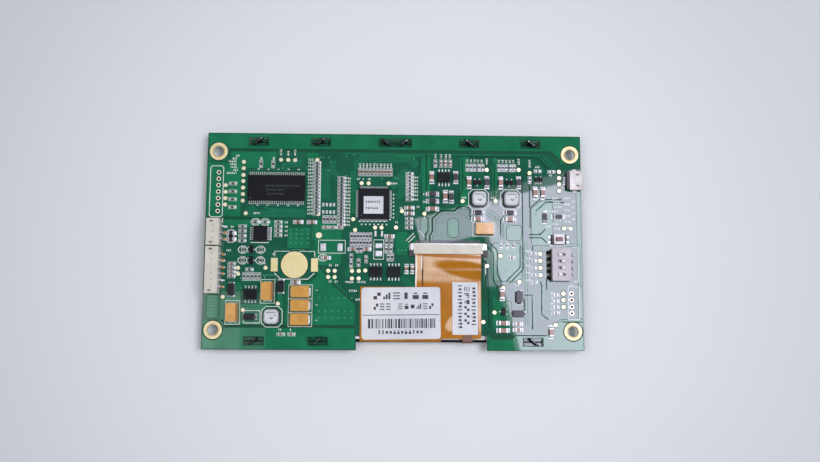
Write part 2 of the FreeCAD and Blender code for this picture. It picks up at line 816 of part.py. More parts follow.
def chip(form, x, y, turn):
    """A ceramic block lying along X, or along Y where turn is 90; the larger forms end in metal blocks."""
    node, length, width, height, end = CHIP_FORMS[form]
    across = turn == 90
    middle = (width, length - 2 * end) if across else (length - 2 * end, width)
    add(node, block(x, y, *middle, top, height))
    if end == 0:
        return
    for side in (-1, 1):
        shift = side * (length - end) / 2
        if across:
            add("chip_terminals", block(x, y + shift, width, end, top, height))
        else:
            add("chip_terminals", block(x + shift, y, end, width, top, height))


def chip_line(form, start, step, count, turn):
    """Equal steps of one chip: the start in layout cells, the step in true size."""
    x, y = place(*start)
    for i in range(count):
        chip(form, x + i * step[0], y + i * step[1], turn)


def chips():
    """Small passive parts, group by group."""
    # Bus resistors and filters round the controller
    chip_line("resistor", (-30.4, 10.4), (0, 1.333), 16, 0)
    chip_line("resistor", (-20.75, 6.1), (0, 1.31), 15, 0)
    chip_line("capacitor", (-13.7, 26.9), (1.345, 0), 10, 90)
    chip_line("resistor", (5.75, 18.0), (0, 1.4), 7, 0)
    chip_line("resistor", (5.75, 16.3), (0, 1), 1, 0)
    chip_line("resistor", (5.6, 5.2), (0, 1.7), 3, 0)
    chip_line("medium", (5.7, 10.7), (0, 2.2), 2, 0)
    chip_line("resistor", (-27.3, 8.1), (1.35, 0), 4, 90)
    chip_line("capacitor", (-26.6, 5.0), (2.6, 0), 3, 0)
    # Block under the controller
    chip_line("resistor", (-16.6, 1.6), (1.2, 0), 7, 90)
    chip_line("resistor", (-16.6, -0.9), (1.2, 0), 7, 90)
    chip_line("medium", (-16.1, -3.4), (5.2, 0), 2, 0)
    chip_line("resistor", (-14.2, -3.3), (1.25, 0), 2, 90)
    chip_line("resistor", (-16.6, -6.6), (0, -2.5), 2, 90)
    chip_line("resistor", (-13.8, -8.6), (1, 0), 1, 90)
    chip_line("capacitor", (-10.9, -7.2), (1, 0), 1, 90)
    chip_line("medium", (-2.0, 1.7), (1, 0), 1, 0)
    chip_line("resistor", (-3.1, -0.8), (1.9, 0), 2, 90)
    chip_line("resistor", (-3.1, -3.4), (1.7, 0), 2, 90)
    chip_line("resistor", (-2.3, -6.4), (1.4, 0), 2, 90)
    chip_line("medium", (4.6, -10.9), (2.3, 0), 2, 90)
    # Beside the transceiver and behind the wire sockets
    chip_line("resistor", (-58.6, -0.4), (0, 1.85), 4, 0)
    chip_line("resistor", (-44.9, 1.8), (0, 1.7), 4, 0)
    chip_line("resistor", (-53.7, 6.9), (3.7, 0), 2, 0)
    chip_line("medium_dark", (-62.9, 0.1), (0, 2.3), 2, 0)
    chip_line("capacitor", (-62.3, -14.1), (0, 1.6), 4, 0)
    chip_line("resistor", (-57.5, -14.2), (1.45, 0), 5, 90)
    chip_line("resistor", (-55.5, -11.5), (1, 0), 1, 0)
    chip_line("resistor", (-58.2, -3.9), (0, -4.1), 2, 90)
    chip_line("resistor", (-51.4, -3.9), (0, -4.1), 2, 90)
    chip_line("resistor", (-62.8, 12.6), (0, 3.1), 4, 0)
    chip_line("resistor", (-52.2, 29.7), (4.7, 0), 2, 90)
    chip_line("medium", (-37.3, 7.0), (5.3, 0), 2, 0)
    chip_line("medium", (-26.4, -6.8), (1, 0), 1, 0)
    chip_line("medium", (-37.9, -16.35), (1, 0), 1, 0)
    chip_line("capacitor", (-43.0, -36.1), (4.0, 0), 2, 0)
    # Both converters, a pair of like groups
    for shift in (0.0, 12.45):
        chip_line("resistor", (28.3 + shift, 29.1), (1.4, 0), 3, 90)
        chip_line("resistor", (32.9 + shift, 29.1), (1.4, 0), 2, 90)
        chip_line("large", (28.9 + shift, 23.1), (1, 0), 1, 90)
        chip_line("large_dark", (35.9 + shift, 23.2), (1, 0), 1, 90)
        chip_line("large_dark", (32.4 + shift, 11.3), (1, 0), 1, 0)
        chip_line("large", (32.3 + shift, 8.7), (1, 0), 1, 0)
    # Right of the controller
    chip_line("resistor", (15.8, 30.6), (1, 0), 1, 90)
    chip_line("capacitor", (18.0, 30.6), (1.8, 0), 3, 90)
    chip_line("large", (14.3, 25.0), (1, 0), 1, 90)
    chip_line("large_dark", (23.7, 25.1), (1, 0), 1, 90)
    chip_line("large_dark", (14.6, 15.6), (0, 2.8), 2, 0)
    chip_line("large", (19.6, 17.5), (1, 0), 1, 90)
    chip_line("large_dark", (22.0, 17.3), (1, 0), 1, 90)
    chip_line("large", (14.6, 12.5), (1, 0), 1, 0)
    # Right edge
    chip_line("resistor", (52.8, 24.4), (1, 0), 1, 90)
    chip_line("resistor", (56.0, 27.9), (1, 0), 1, 0)
    chip_line("large", (54.8, 19.2), (3.0, 0), 2, 90)
    chip_line("resistor", (61.4, 27.7), (1, 0), 1, 0)
    chip_line("large_dark", (58.5, 9.6), (1, 0), 1, 90)
    chip_line("large_dark", (63.7, 9.8), (1, 0), 1, 0)
    chip_line("resistor", (41.3, -1.6), (2.4, 0), 3, 90)
    chip_line("resistor", (45.4, -6.2), (1, 0), 1, 0)
    chip_line("resistor", (53.8, -13.0), (0, 2.8), 4, 0)
    chip_line("resistor", (54.0, -15.7), (1, 0), 1, 0)
    chip_line("large", (41.5, -20.5), (1, 0), 1, 90)
    chip_line("large", (41.8, -31.5), (0, -2.8), 2, 0)
    chip_line("medium", (47.5, -31.8), (0, -2.2), 2, 0)
    chip_line("resistor", (62.2, -27.5), (0, 2.3), 4, 0)
    chip_line("large", (60.2, -34.8), (1, 0), 1, 90)


def transistor(x, y, turn, far_offsets):
    """A small moulded transistor: two leads on one side, the rest on the other."""
    length, width = (transistor_length, transistor_width) if turn % 180 == 90 else (transistor_width,
                                                                                    transistor_length)
    add("transistors", block(x, y, length, width, top + chip_standoff, transistor_height))
    rise = chip_standoff + 0.3
    view = short_lead_view(transistor_reach, rise, lead_thickness)
    near = (-transistor_pitch, transistor_pitch)
    leads("transistor_leads", x, y, transistor_width / 2, near, transistor_lead_width, view, (turn,))
    leads("transistor_leads", x, y, transistor_width / 2, far_offsets, transistor_lead_width, view, (turn + 180,))


def transistors():
    three = (0.0,)
    six = (-transistor_pitch, 0.0, transistor_pitch)
    for spot, turn, far in (((32.2, 23.2), 90, three), ((44.65, 23.2), 90, three), ((41.9, -27.1), 0, three),
                            ((-54.9, -3.8), 180, three), ((-54.9, -8.0), 180, three), ((56.2, 24.4), 90, six)):
        x, y = place(*spot)
        transistor(x, y, turn, far)


def diodes():
    """Moulded two-lead diodes with a sloping lead at each end."""
    rise = 0.9
    view = short_lead_view(diode_reach, rise, lead_thickness)
    for spot, turn in (((-62.1, -19.2), 90), ((-54.9, -29.6), 0), ((-43.3, -17.9), 90), ((48.0, -21.5), 90),
                       ((47.6, -27.9), 0)):
        x, y = place(*spot)
        length, width = (diode_length, diode_width) if turn == 0 else (diode_width, diode_length)
        add("diodes", tapered_block(x, y, length, width, top + chip_standoff, diode_height))
        leads("diode_leads", x, y, diode_length / 2, (0.0,), diode_lead_width, view, (turn, turn + 180))


def wire_socket(node, ways, y):
    """Side-entry socket open to the left, with vents over its pins, and pins that turn down to the board."""
    left = -half_length + wire_socket_inset
    right = left + wire_socket_depth
    width = wire_socket_width(ways)
    body = box(left, right, y - width / 2, y + width / 2, top, top + wire_socket_height)
    cavity = box(left - 1, right - wire_rear_wall, y - width / 2 + wire_wall, y + width / 2 - wire_wall,
                 top + wire_wall, top + wire_socket_height - wire_wall)
    cuts = [cavity]
    middle = (left + right - wire_rear_wall) / 2
    for side in (-1, 1):
        cuts.append(block(middle, y + side * (width / 2 - 1.5 * wire_wall), wire_vent_length, wire_vent_width,
                          top + wire_socket_height - 1.5 * wire_wall, 2 * wire_wall))
    level = top + wire_pin_level
    for d in along_row(ways, wire_pitch):
        cuts.append(box(right - 1.5 * wire_rear_wall, right + 1, y + d - wire_pin / 2, y + d + wire_pin / 2,
                        level, level + wire_pin))
        tip = right - wire_rear_wall - wire_pin_reach
        add("socket_pins", prism([(tip, wire_pin_level), (tip, wire_pin_level + wire_pin),
                                  (right + 0.9, wire_pin_level + wire_pin), (right + 0.9, wire_foot_thickness),
                                  (right + wire_foot, wire_foot_thickness), (right + wire_foot, 0),
                                  (right + 0.6, 0), (right + 0.6, wire_pin_level)],
                                 wire_pin, Vector(0, y + d, top)))
    add(node, body.cut(cuts))


def wire_socket_width(ways):
    return (ways - 1) * wire_pitch + 2 * wire_end_wall


def wire_sockets():
    """The long socket stands close below the short one."""
    short_y = short_socket_y * row
    long_y = short_y - (wire_socket_width(short_socket_count)
                        + wire_socket_width(long_socket_count)) / 2 - wire_socket_space
    wire_socket("short_wire_socket", short_socket_count, short_y)
    wire_socket("long_wire_socket", long_socket_count, long_y)


def usb_socket():
    """Bent metal shell, open at the board's edge, round a tongue with five contacts."""
    mouth = half_length
    back = mouth - usb_depth
    y = usb_y * row
    a, h, c = usb_width / 2, usb_height, usb_chamfer

    def tube(inset, x0, x1):
        half, low, high, cut = a - inset, inset, h - inset, c - 0.4 * inset
        outline = [(-half, high), (-half, low + cut), (-half + cut, low), (half - cut, low), (half, low + cut),
                   (half, high)]
        points = [Vector(x0, y + u, top + w) for u, w in outline]
        return Part.Face(Part.makePolygon(points + points[:1])).extrude(Vector(x1 - x0, 0, 0))

    windows = [block(mouth - 1.9, y + side * 2.2, usb_window_length, usb_window_width, top + h - 2 * usb_wall,
                     3 * usb_wall) for side in (-1, 1)]
    shell = tube(0.0, back, mouth).cut([tube(usb_wall, back - 1, mouth + 1)] + windows)
    feet = []
    for side in (-1, 1):
        out = side * (a + usb_ear_width)
        inner = side * (a - usb_wall)
        feet.append(box(mouth - 3.4, mouth - 3.4 + usb_ear_length, y + min(out, inner), y + max(out, inner), top,
                        top + usb_wall))
        feet.append(box(mouth - 3.4, mouth - 3.4 + usb_ear_length, y + side * a - usb_wall / 2 - side * usb_wall / 2,
                        y + side * a + usb_wall / 2 - side * usb_wall / 2, top, top + c + usb_wall))
    add("usb_shell", shell.fuse(feet).removeSplitter())
    rear = tube(usb_wall, back - usb_rear, back + 0.8)
    tongue_z = top + h - usb_wall - 0.45 - usb_tongue_thickness
    tongue = block((back + mouth - usb_tongue_inset) / 2, y, mouth - usb_tongue_inset - back, usb_tongue_width,
                   tongue_z, usb_tongue_thickness)
    add("usb_tongue", rear.fuse(tongue).removeSplitter())
    for d in along_row(usb_contact_count, usb_contact_pitch):
        add("usb_contacts", box(back + 1.0, mouth - usb_tongue_inset - 0.3, y + d - usb_contact_width / 2,
                                y + d + usb_contact_width / 2, tongue_z - usb_contact_thickness, tongue_z))
        add("usb_contacts", box(back - usb_rear - usb_foot_length, back - usb_rear, y + d - usb_contact_width / 2,
                                y + d + usb_contact_width / 2, top, top + usb_wall + usb_contact_thickness))


def dip_switch():
    """Slide switch: four levers, each in its own slot, standing at different ends."""
    x, y = place(dip_x, dip_y)
    length = (dip_count - 1) * dip_pitch + 2 * dip_end_wall
    body = block(x, y, dip_width, length, top + chip_standoff, dip_height)
    lid = top + chip_standoff + dip_height
    cuts = []
    offsets = along_row(dip_count, dip_pitch)
    stands = (1, -1, -1, 1)
    slide_room = dip_lever_length + dip_travel + 2 * dip_lever_gap
    slot_length = max(dip_slot_length, slide_room)
    for number, (d, stand) in enumerate(zip(reversed(offsets), stands), start=1):
        cuts.append(block(x, y + d, slot_length, dip_slot_width, lid - dip_slot_depth, dip_slot_depth + 1))
        lever_x = x - stand * dip_travel / 2
        floor = lid - dip_slot_depth + dip_lever_gap
        lever = block(lever_x, y + d, dip_lever_length, dip_slot_width - 2 * dip_lever_gap, floor,
                      dip_slot_depth - dip_lever_gap + dip_lever_proud)
        ridge = [edge for edge in lever.Edges if edge.BoundBox.ZMin > lid + dip_lever_proud - 0.001
                 and edge.BoundBox.YLength > 0.1]
        add("dip_lever_%d" % number, lever.makeChamfer(0.25, ridge))
    add("dip_switch_body", body.cut(cuts))
    view = lead_view(dip_reach, dip_lead_rise, dip_lead_thickness)
    leads("dip_switch_leads", x, y, dip_width / 2, offsets, dip_lead_width, view, (0, 180))


def push_switch():
    """Base with a well, a folded metal cover over it and a button that sinks into the well."""
    x, y = place(push_x, push_y)
    base_top = top + push_base_height
    base = block(x, y, push_length, push_width, top, push_base_height)
    well_length = push_button_length + 2 * push_button_gap
    well_width = push_button_width + 2 * push_button_gap
    well = block(x, y, well_length, well_width, base_top - push_well_depth, push_well_depth + 1)
    add("push_switch_base", base.cut(well))
    half_width = push_width / 2
    wrap = half_width + push_cover
    cover = box(x - push_cover_length / 2, x + push_cover_length / 2, y - wrap, y + wrap, top + 0.3,
                base_top + push_cover)
    core = box(x - push_cover_length, x + push_cover_length, y - half_width, y + half_width, top - 1, base_top)
    hole = block(x, y, well_length, well_width, base_top - 1, 3)
    add("push_switch_cover", cover.cut([core, hole]))
    travel_room = 0.35
    add("push_button", rounded_block(x, y, push_button_length, push_button_width,
                                     base_top - push_well_depth + travel_room,
                                     push_well_depth - travel_room + push_cover + push_button_proud,
                                     push_button_corner))
    for side in (-1, 1):
        for d in (-1, 1):
            add("push_switch_leads", block(x + side * (push_length + push_lead_length) / 2, y + d * 1.0,
                                           push_lead_length, push_lead_width, top, lead_thickness))


def write_parts():
    os.makedirs("parts", exist_ok=True)
    for node, solids in nodes.items():
        shape = solids[0] if len(solids) == 1 else Part.makeCompound(solids)
        shape.exportStep("parts/%s.step" % node)


main_board()
plated_lands()
bezel_frame()
panel_frame()
panel_stack()
display_flex()
backlight_flex()
flex_socket()
labels()
memory_chip()
controller_chip()
transceiver_chip()
small_chips()
inductors()
tantalums()
chips()
transistors()
diodes()
wire_sockets()
usb_socket()
dip_switch()
push_switch()
write_parts()
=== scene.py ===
"""Blender scene of a flat display module, seen from the component side of its controller board.

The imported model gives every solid. This script gives those solids their finishes and adds what is too
thin or too fine for them: copper under the solder mask, silkscreen, plated lands, solder, prints and marks.
Lengths in the tables below are millimetres on the board, with X to the right and Y away from the notch.
"""

import json
import logging
import math
import random
from dataclasses import dataclass, field
from enum import Enum
from typing import Any, Callable, Iterable, Optional, Sequence

import bmesh
import bpy
from mathutils import Matrix, Vector

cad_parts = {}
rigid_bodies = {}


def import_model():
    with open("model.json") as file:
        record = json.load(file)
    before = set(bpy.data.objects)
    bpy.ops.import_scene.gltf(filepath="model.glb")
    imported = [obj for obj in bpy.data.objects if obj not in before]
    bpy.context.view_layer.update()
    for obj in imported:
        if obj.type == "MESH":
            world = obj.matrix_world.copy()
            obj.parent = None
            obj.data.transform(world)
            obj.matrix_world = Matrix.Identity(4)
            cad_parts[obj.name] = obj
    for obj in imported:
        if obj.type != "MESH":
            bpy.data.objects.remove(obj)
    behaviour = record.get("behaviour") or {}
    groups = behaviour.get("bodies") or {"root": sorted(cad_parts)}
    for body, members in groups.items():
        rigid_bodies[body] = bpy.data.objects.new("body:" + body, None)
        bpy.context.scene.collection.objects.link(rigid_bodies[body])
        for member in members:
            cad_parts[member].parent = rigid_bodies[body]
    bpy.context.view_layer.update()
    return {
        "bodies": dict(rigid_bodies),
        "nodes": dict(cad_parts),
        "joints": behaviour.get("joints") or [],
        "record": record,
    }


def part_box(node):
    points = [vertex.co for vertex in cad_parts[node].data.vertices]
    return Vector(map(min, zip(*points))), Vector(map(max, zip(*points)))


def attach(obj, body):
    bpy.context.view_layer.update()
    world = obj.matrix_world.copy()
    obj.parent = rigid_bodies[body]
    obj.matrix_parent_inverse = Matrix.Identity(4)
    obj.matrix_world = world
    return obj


LOG = logging.getLogger("display_module")
MM = 0.001  # metres in a millimetre
TOP = 6.0  # height of the board's upper face
FLEX_TOP = 6.15  # height of the flex where it lies on the board
FOOT = TOP + 0.01  # height from which solder and pads rise
# The corner holes, and the middles and lengths of the slots for the bezel's tabs.
HOLES = ((-68.75, 34.6), (68.75, 34.6), (-68.75, -34.6), (68.75, -34.6))
SLOTS = ((-53.3, 38.65, 7.4), (-29.1, 38.65, 7.4), (0.0, 38.65, 12.6), (29.1, 38.65, 7.4), (53.3, 38.65, 7.4),
         (-53.3, -38.65, 7.4), (-29.1, -38.65, 7.4), (53.3, -38.65, 7.4))
# The rows of header holes, by X, middle in Y, number and pitch, and the middle of the cell pad.
LEFT_HEADER = (-68.4, 18.65, 7, 2.54)
RIGHT_HEADER = (68.4, -23.8, 4, 2.54)
CELL_PAD = (-38.4, -9.6)
BAND = 0.314  # wave texture scale that gives one band in each unit of length
SMALL_CHIP = 0.9  # a chip no wider than this is one plain solid, so its metal ends are added here

Point = tuple[float, float]
Line = Sequence[Point]
Ellipse = tuple[float, float, float, float, float]
Tree = bpy.types.NodeTree
Node = bpy.types.Node
Socket = bpy.types.NodeSocket
Object = bpy.types.Object


def linear(hexa: str) -> tuple[float, float, float, float]:
    """Turn an sRGB hex colour into linear light.

    Args:
        hexa: six hex digits after a hash.

    Returns:
        Red, green, blue and an alpha of one.
    """
    parts = [int(hexa[i:i + 2], 16) / 255 for i in (1, 3, 5)]
    red, green, blue = (p / 12.92 if p <= 0.04045 else ((p + 0.055) / 1.055) ** 2.4 for p in parts)
    return red, green, blue, 1.0


def add_node(tree: Tree, kind: str, inputs: Optional[dict[Any, Any]] = None, **settings: Any) -> Node:
    """Add a node with its settings, values and links.

    Args:
        tree: the node tree that gets the node.
        kind: the node's type name.
        inputs: by socket name or number, a value or the output socket that feeds it.
        settings: properties of the node itself.

    Returns:
        The new node.
    """
    node = tree.nodes.new(kind)
    for key, value in settings.items():
        setattr(node, key, value)
    for key, value in (inputs or {}).items():
        if isinstance(value, Socket):
            tree.links.new(value, node.inputs[key])
        else:
            node.inputs[key].default_value = value
    return node


@dataclass(frozen=True)
class Finish:
    """A surface: what it is made of and how it was made.

    The colour drifts to a second one in soft patches, and a fine grain gives the surface its relief.
    """

    name: str
    colour: str
    roughness: float
    second: str
    metallic: float = 0.0
    ior: float = 1.5
    patch_mm: float = 4.0
    grain_mm: float = 0.25
    relief_mm: float = 0.01
    coat: float = 0.0
    transmission: float = 0.0

    def tint(self, tree: Tree, place: Socket) -> Socket:
        """Build the colour, which drifts to the second one in soft patches.

        Args:
            tree: the material's node tree.
            place: object coordinates.

        Returns:
            The colour's output socket.
        """
        patches = add_node(tree, "ShaderNodeTexNoise", {"Vector": place, "Scale": 1 / (self.patch_mm * MM),
                                                        "Detail": 4.0})
        drift = add_node(tree, "ShaderNodeMapRange", {"Value": patches.outputs["Fac"], "From Min": 0.35,
                                                      "From Max": 0.65})
        return add_node(tree, "ShaderNodeMix", {0: drift.outputs["Result"], 6: linear(self.colour),
                                                7: linear(self.second)}, data_type="RGBA").outputs[2]

    def relief(self, tree: Tree, place: Socket) -> Socket:
        """Return the height of the fine grain."""
        return add_node(tree, "ShaderNodeTexNoise", {"Vector": place, "Scale": 1 / (self.grain_mm * MM),
                                                     "Detail": 3.0}).outputs["Fac"]

    def wear(self, tree: Tree, place: Socket) -> Socket:
        """Build the roughness, which wanders a little about its middle value.

        Args:
            tree: the material's node tree.
            place: object coordinates.

        Returns:
            The roughness output socket.
        """
        rub = add_node(tree, "ShaderNodeTexNoise", {"Vector": place, "Scale": 0.4 / (self.patch_mm * MM),
                                                    "Detail": 2.0})
        return add_node(tree, "ShaderNodeMapRange", {
            "Value": rub.outputs["Fac"], "From Min": 0.3, "From Max": 0.7, "To Min": self.roughness * 0.85,
            "To Max": self.roughness * 1.15}).outputs["Result"]

    def material(self) -> bpy.types.Material:
        """Make the material once, and hand out the same one after that.

        Returns:
            The Blender material.
        """
        made = bpy.data.materials.get(self.name)
        if made:
            return made
        made = bpy.data.materials.new(self.name)
        made.use_nodes = True
        tree = made.node_tree
        tree.nodes.clear()
        place = add_node(tree, "ShaderNodeTexCoord").outputs["Object"]
        bump = add_node(tree, "ShaderNodeBump", {"Height": self.relief(tree, place), "Strength": 1.0,
                                                 "Distance": self.relief_mm * MM})
        shader = add_node(tree, "ShaderNodeBsdfPrincipled", {
            "Base Color": self.tint(tree, place), "Roughness": self.wear(tree, place),
            "Metallic": self.metallic, "IOR": self.ior, "Coat Weight": self.coat,
            "Transmission Weight": self.transmission, "Normal": bump.outputs["Normal"]})
        add_node(tree, "ShaderNodeOutputMaterial", {"Surface": shader.outputs["BSDF"]})
        return made


@dataclass(frozen=True)
class MaskedBoard(Finish):
    """Glossy liquid solder mask on woven glass-epoxy, pale where the laminate was routed at its edges.

    The weave is drawn at 0.7 mm, coarser than the real cloth, so that it shows.
    """

    edge: str = "#B9C6AE"
    weave_mm: float = 0.7

    def tint(self, tree: Tree, place: Socket) -> Socket:
        """Mix mask green on the faces with bare laminate on the routed edges.

        Args:
            tree: the material's node tree.
            place: object coordinates.

        Returns:
            The colour's output socket.
        """
        normal = add_node(tree, "ShaderNodeTexCoord").outputs["Normal"]
        upright = add_node(tree, "ShaderNodeSeparateXYZ", {"Vector": normal}).outputs["Z"]
        level = add_node(tree, "ShaderNodeMath", {0: upright}, operation="ABSOLUTE").outputs[0]
        on_face = add_node(tree, "ShaderNodeMath", {0: level, 1: 0.5}, operation="GREATER_THAN").outputs[0]
        face = Finish.tint(self, tree, place)
        return add_node(tree, "ShaderNodeMix", {0: on_face, 6: linear(self.edge), 7: face},
                        data_type="RGBA").outputs[2]

    def relief(self, tree: Tree, place: Socket) -> Socket:
        """Print the glass weave faintly through the mask.

        Args:
            tree: the material's node tree.
            place: object coordinates.

        Returns:
            The height's output socket.
        """
        across, along = (
            add_node(tree, "ShaderNodeTexWave", {"Vector": place, "Scale": BAND / (self.weave_mm * MM),
                                                 "Distortion": 0.6}, bands_direction=axis).outputs["Fac"]
            for axis in "XY")
        return add_node(tree, "ShaderNodeMath", {0: across, 1: along}, operation="MULTIPLY").outputs[0]


@dataclass(frozen=True)
class TracedFlex(Finish):
    """Polyimide film over fine copper traces that run along the tail.

    The traces are drawn wider apart than real ones, so that they show. A painted sheen turns the film pale
    where it bulged towards the light. A sheen patch is an ellipse given by centre, half sizes and turn, and a
    sheen gap is one that takes the painted sheen away again; one sheen gap is the painted shadow under the
    socket. A seam is a very long and thin one, dark; a glint is the same, pale: a painted reflection.
    """

    trace_mm: float = 0.5
    film: str = "#8A4F14"
    sheen: str = "#DDB592"
    seam: str = "#4A2A10"
    glint: str = "#F0E6DC"
    softness: float = 0.3
    sheen_noise_mm: float = 5.0
    wave_mm: float = 6.0
    sheen_patches: tuple[Ellipse, ...] = ()
    sheen_gaps: tuple[Ellipse, ...] = ()
    seams: tuple[Ellipse, ...] = ()
    glints: tuple[Ellipse, ...] = ()

    def ellipse(self, tree: Tree, place: Socket, form: Ellipse) -> Socket:
        """Build a soft-edged ellipse.

        Args:
            tree: the material's node tree.
            place: object coordinates.
            form: centre X and Y, half sizes X and Y in millimetres, and turn in degrees.

        Returns:
            One inside, zero outside.
        """
        x, y, wide, high, turn = form
        own = add_node(tree, "ShaderNodeMapping", {
            "Vector": place, "Location": (x * MM, y * MM, FLEX_TOP * MM),
            "Rotation": (0, 0, math.radians(turn)), "Scale": (wide * MM, high * MM, 1)},
            vector_type="TEXTURE")
        ball = add_node(tree, "ShaderNodeTexGradient", {"Vector": own.outputs["Vector"]},
                        gradient_type="SPHERICAL")
        return add_node(tree, "ShaderNodeMapRange", {
            "Value": ball.outputs["Fac"], "From Min": 0.0, "From Max": self.softness},
            interpolation_type="SMOOTHSTEP").outputs["Result"]

    def tint(self, tree: Tree, place: Socket) -> Socket:
        """Stripe the copper through the film, and lay the painted sheen of the sheen patches over both.

        Args:
            tree: the material's node tree.
            place: object coordinates.

        Returns:
            The colour's output socket.
        """
        body = Finish.tint(self, tree, place)
        bands = add_node(tree, "ShaderNodeTexWave", {"Vector": place, "Scale": BAND / (self.trace_mm * MM)},
                         bands_direction="X")
        gap = add_node(tree, "ShaderNodeMapRange", {"Value": bands.outputs["Fac"], "From Min": 0.25,
                                                    "From Max": 0.6, "To Max": 0.3}).outputs["Result"]
        colour = add_node(tree, "ShaderNodeMix", {0: gap, 6: body, 7: linear(self.film)},
                          data_type="RGBA").outputs[2]
        # Painted sheen: the sheen patches turn the film pale, and the sheen gaps keep it amber, one of them in
        # painted shadow.
        if not self.sheen_patches:
            return colour
        amount = self.ellipse(tree, place, self.sheen_patches[0])
        for form in self.sheen_patches[1:]:
            inside = self.ellipse(tree, place, form)
            amount = add_node(tree, "ShaderNodeMath", {0: amount, 1: inside}, operation="MAXIMUM").outputs[0]
        for form in self.sheen_gaps:
            inside = self.ellipse(tree, place, form)
            left = add_node(tree, "ShaderNodeMath", {0: 1.0, 1: inside}, operation="SUBTRACT").outputs[0]
            amount = add_node(tree, "ShaderNodeMath", {0: amount, 1: left}, operation="MULTIPLY").outputs[0]
        sheen_noise = add_node(tree, "ShaderNodeTexNoise", {"Vector": place, "Scale": 1 / (self.sheen_noise_mm * MM),
                                                        "Detail": 3.0})
        sheen_strength = add_node(tree, "ShaderNodeMapRange", {
            "Value": sheen_noise.outputs["Fac"], "From Min": 0.3, "From Max": 0.6, "To Min": 0.6,
            "To Max": 0.92}).outputs["Result"]
        shine = add_node(tree, "ShaderNodeMix", {0: gap, 6: linear(self.sheen), 7: linear(self.film)},
                         data_type="RGBA").outputs[2]
        amount = add_node(tree, "ShaderNodeMath", {0: amount, 1: sheen_strength}, operation="MULTIPLY").outputs[0]
        colour = add_node(tree, "ShaderNodeMix", {0: amount, 6: colour, 7: shine},
                          data_type="RGBA").outputs[2]
        for forms, shade in ((self.seams, self.seam), (self.glints, self.glint)):
            for form in forms:
                inside = self.ellipse(tree, place, form)
                colour = add_node(tree, "ShaderNodeMix", {0: inside, 6: colour, 7: linear(shade)},
                                  data_type="RGBA").outputs[2]
        return colour

    def relief(self, tree: Tree, place: Socket) -> Socket:
        """Return the height of the long shallow waves in which a flex lies."""
        return add_node(tree, "ShaderNodeTexNoise", {"Vector": place, "Scale": 1 / (self.wave_mm * MM),
                                                     "Detail": 1.0}).outputs["Fac"]


@dataclass(frozen=True)
class Backdrop(Finish):
    """Matt paper, with painted shade that darkens it towards the far ends of the table."""

    near_mm: float = 60.0
    far_mm: float = 210.0

    def tint(self, tree: Tree, place: Socket) -> Socket:
        """Paint shade that darkens the paper with distance from the middle.

        Args:
            tree: the material's node tree.
            place: object coordinates.

        Returns:
            The colour's output socket.
        """
        reach = add_node(tree, "ShaderNodeVectorMath", {0: place}, operation="LENGTH").outputs["Value"]
        fade = add_node(tree, "ShaderNodeMapRange", {
            "Value": reach, "From Min": self.near_mm * MM, "From Max": self.far_mm * MM},
            interpolation_type="SMOOTHSTEP").outputs["Result"]
        return add_node(tree, "ShaderNodeMix", {0: fade, 6: linear(self.colour), 7: linear(self.second)},
                        data_type="RGBA").outputs[2]


@dataclass(frozen=True)
class RolledSteel(Finish):
    """Sheet metal with the long fine lines that rolling leaves in it."""

    def relief(self, tree: Tree, place: Socket) -> Socket:
        """Return the height of the grain, stretched along X."""
        pull = add_node(tree, "ShaderNodeMapping", {"Vector": place, "Scale": (0.06, 1.0, 1.0)})
        return Finish.relief(self, tree, pull.outputs["Vector"])


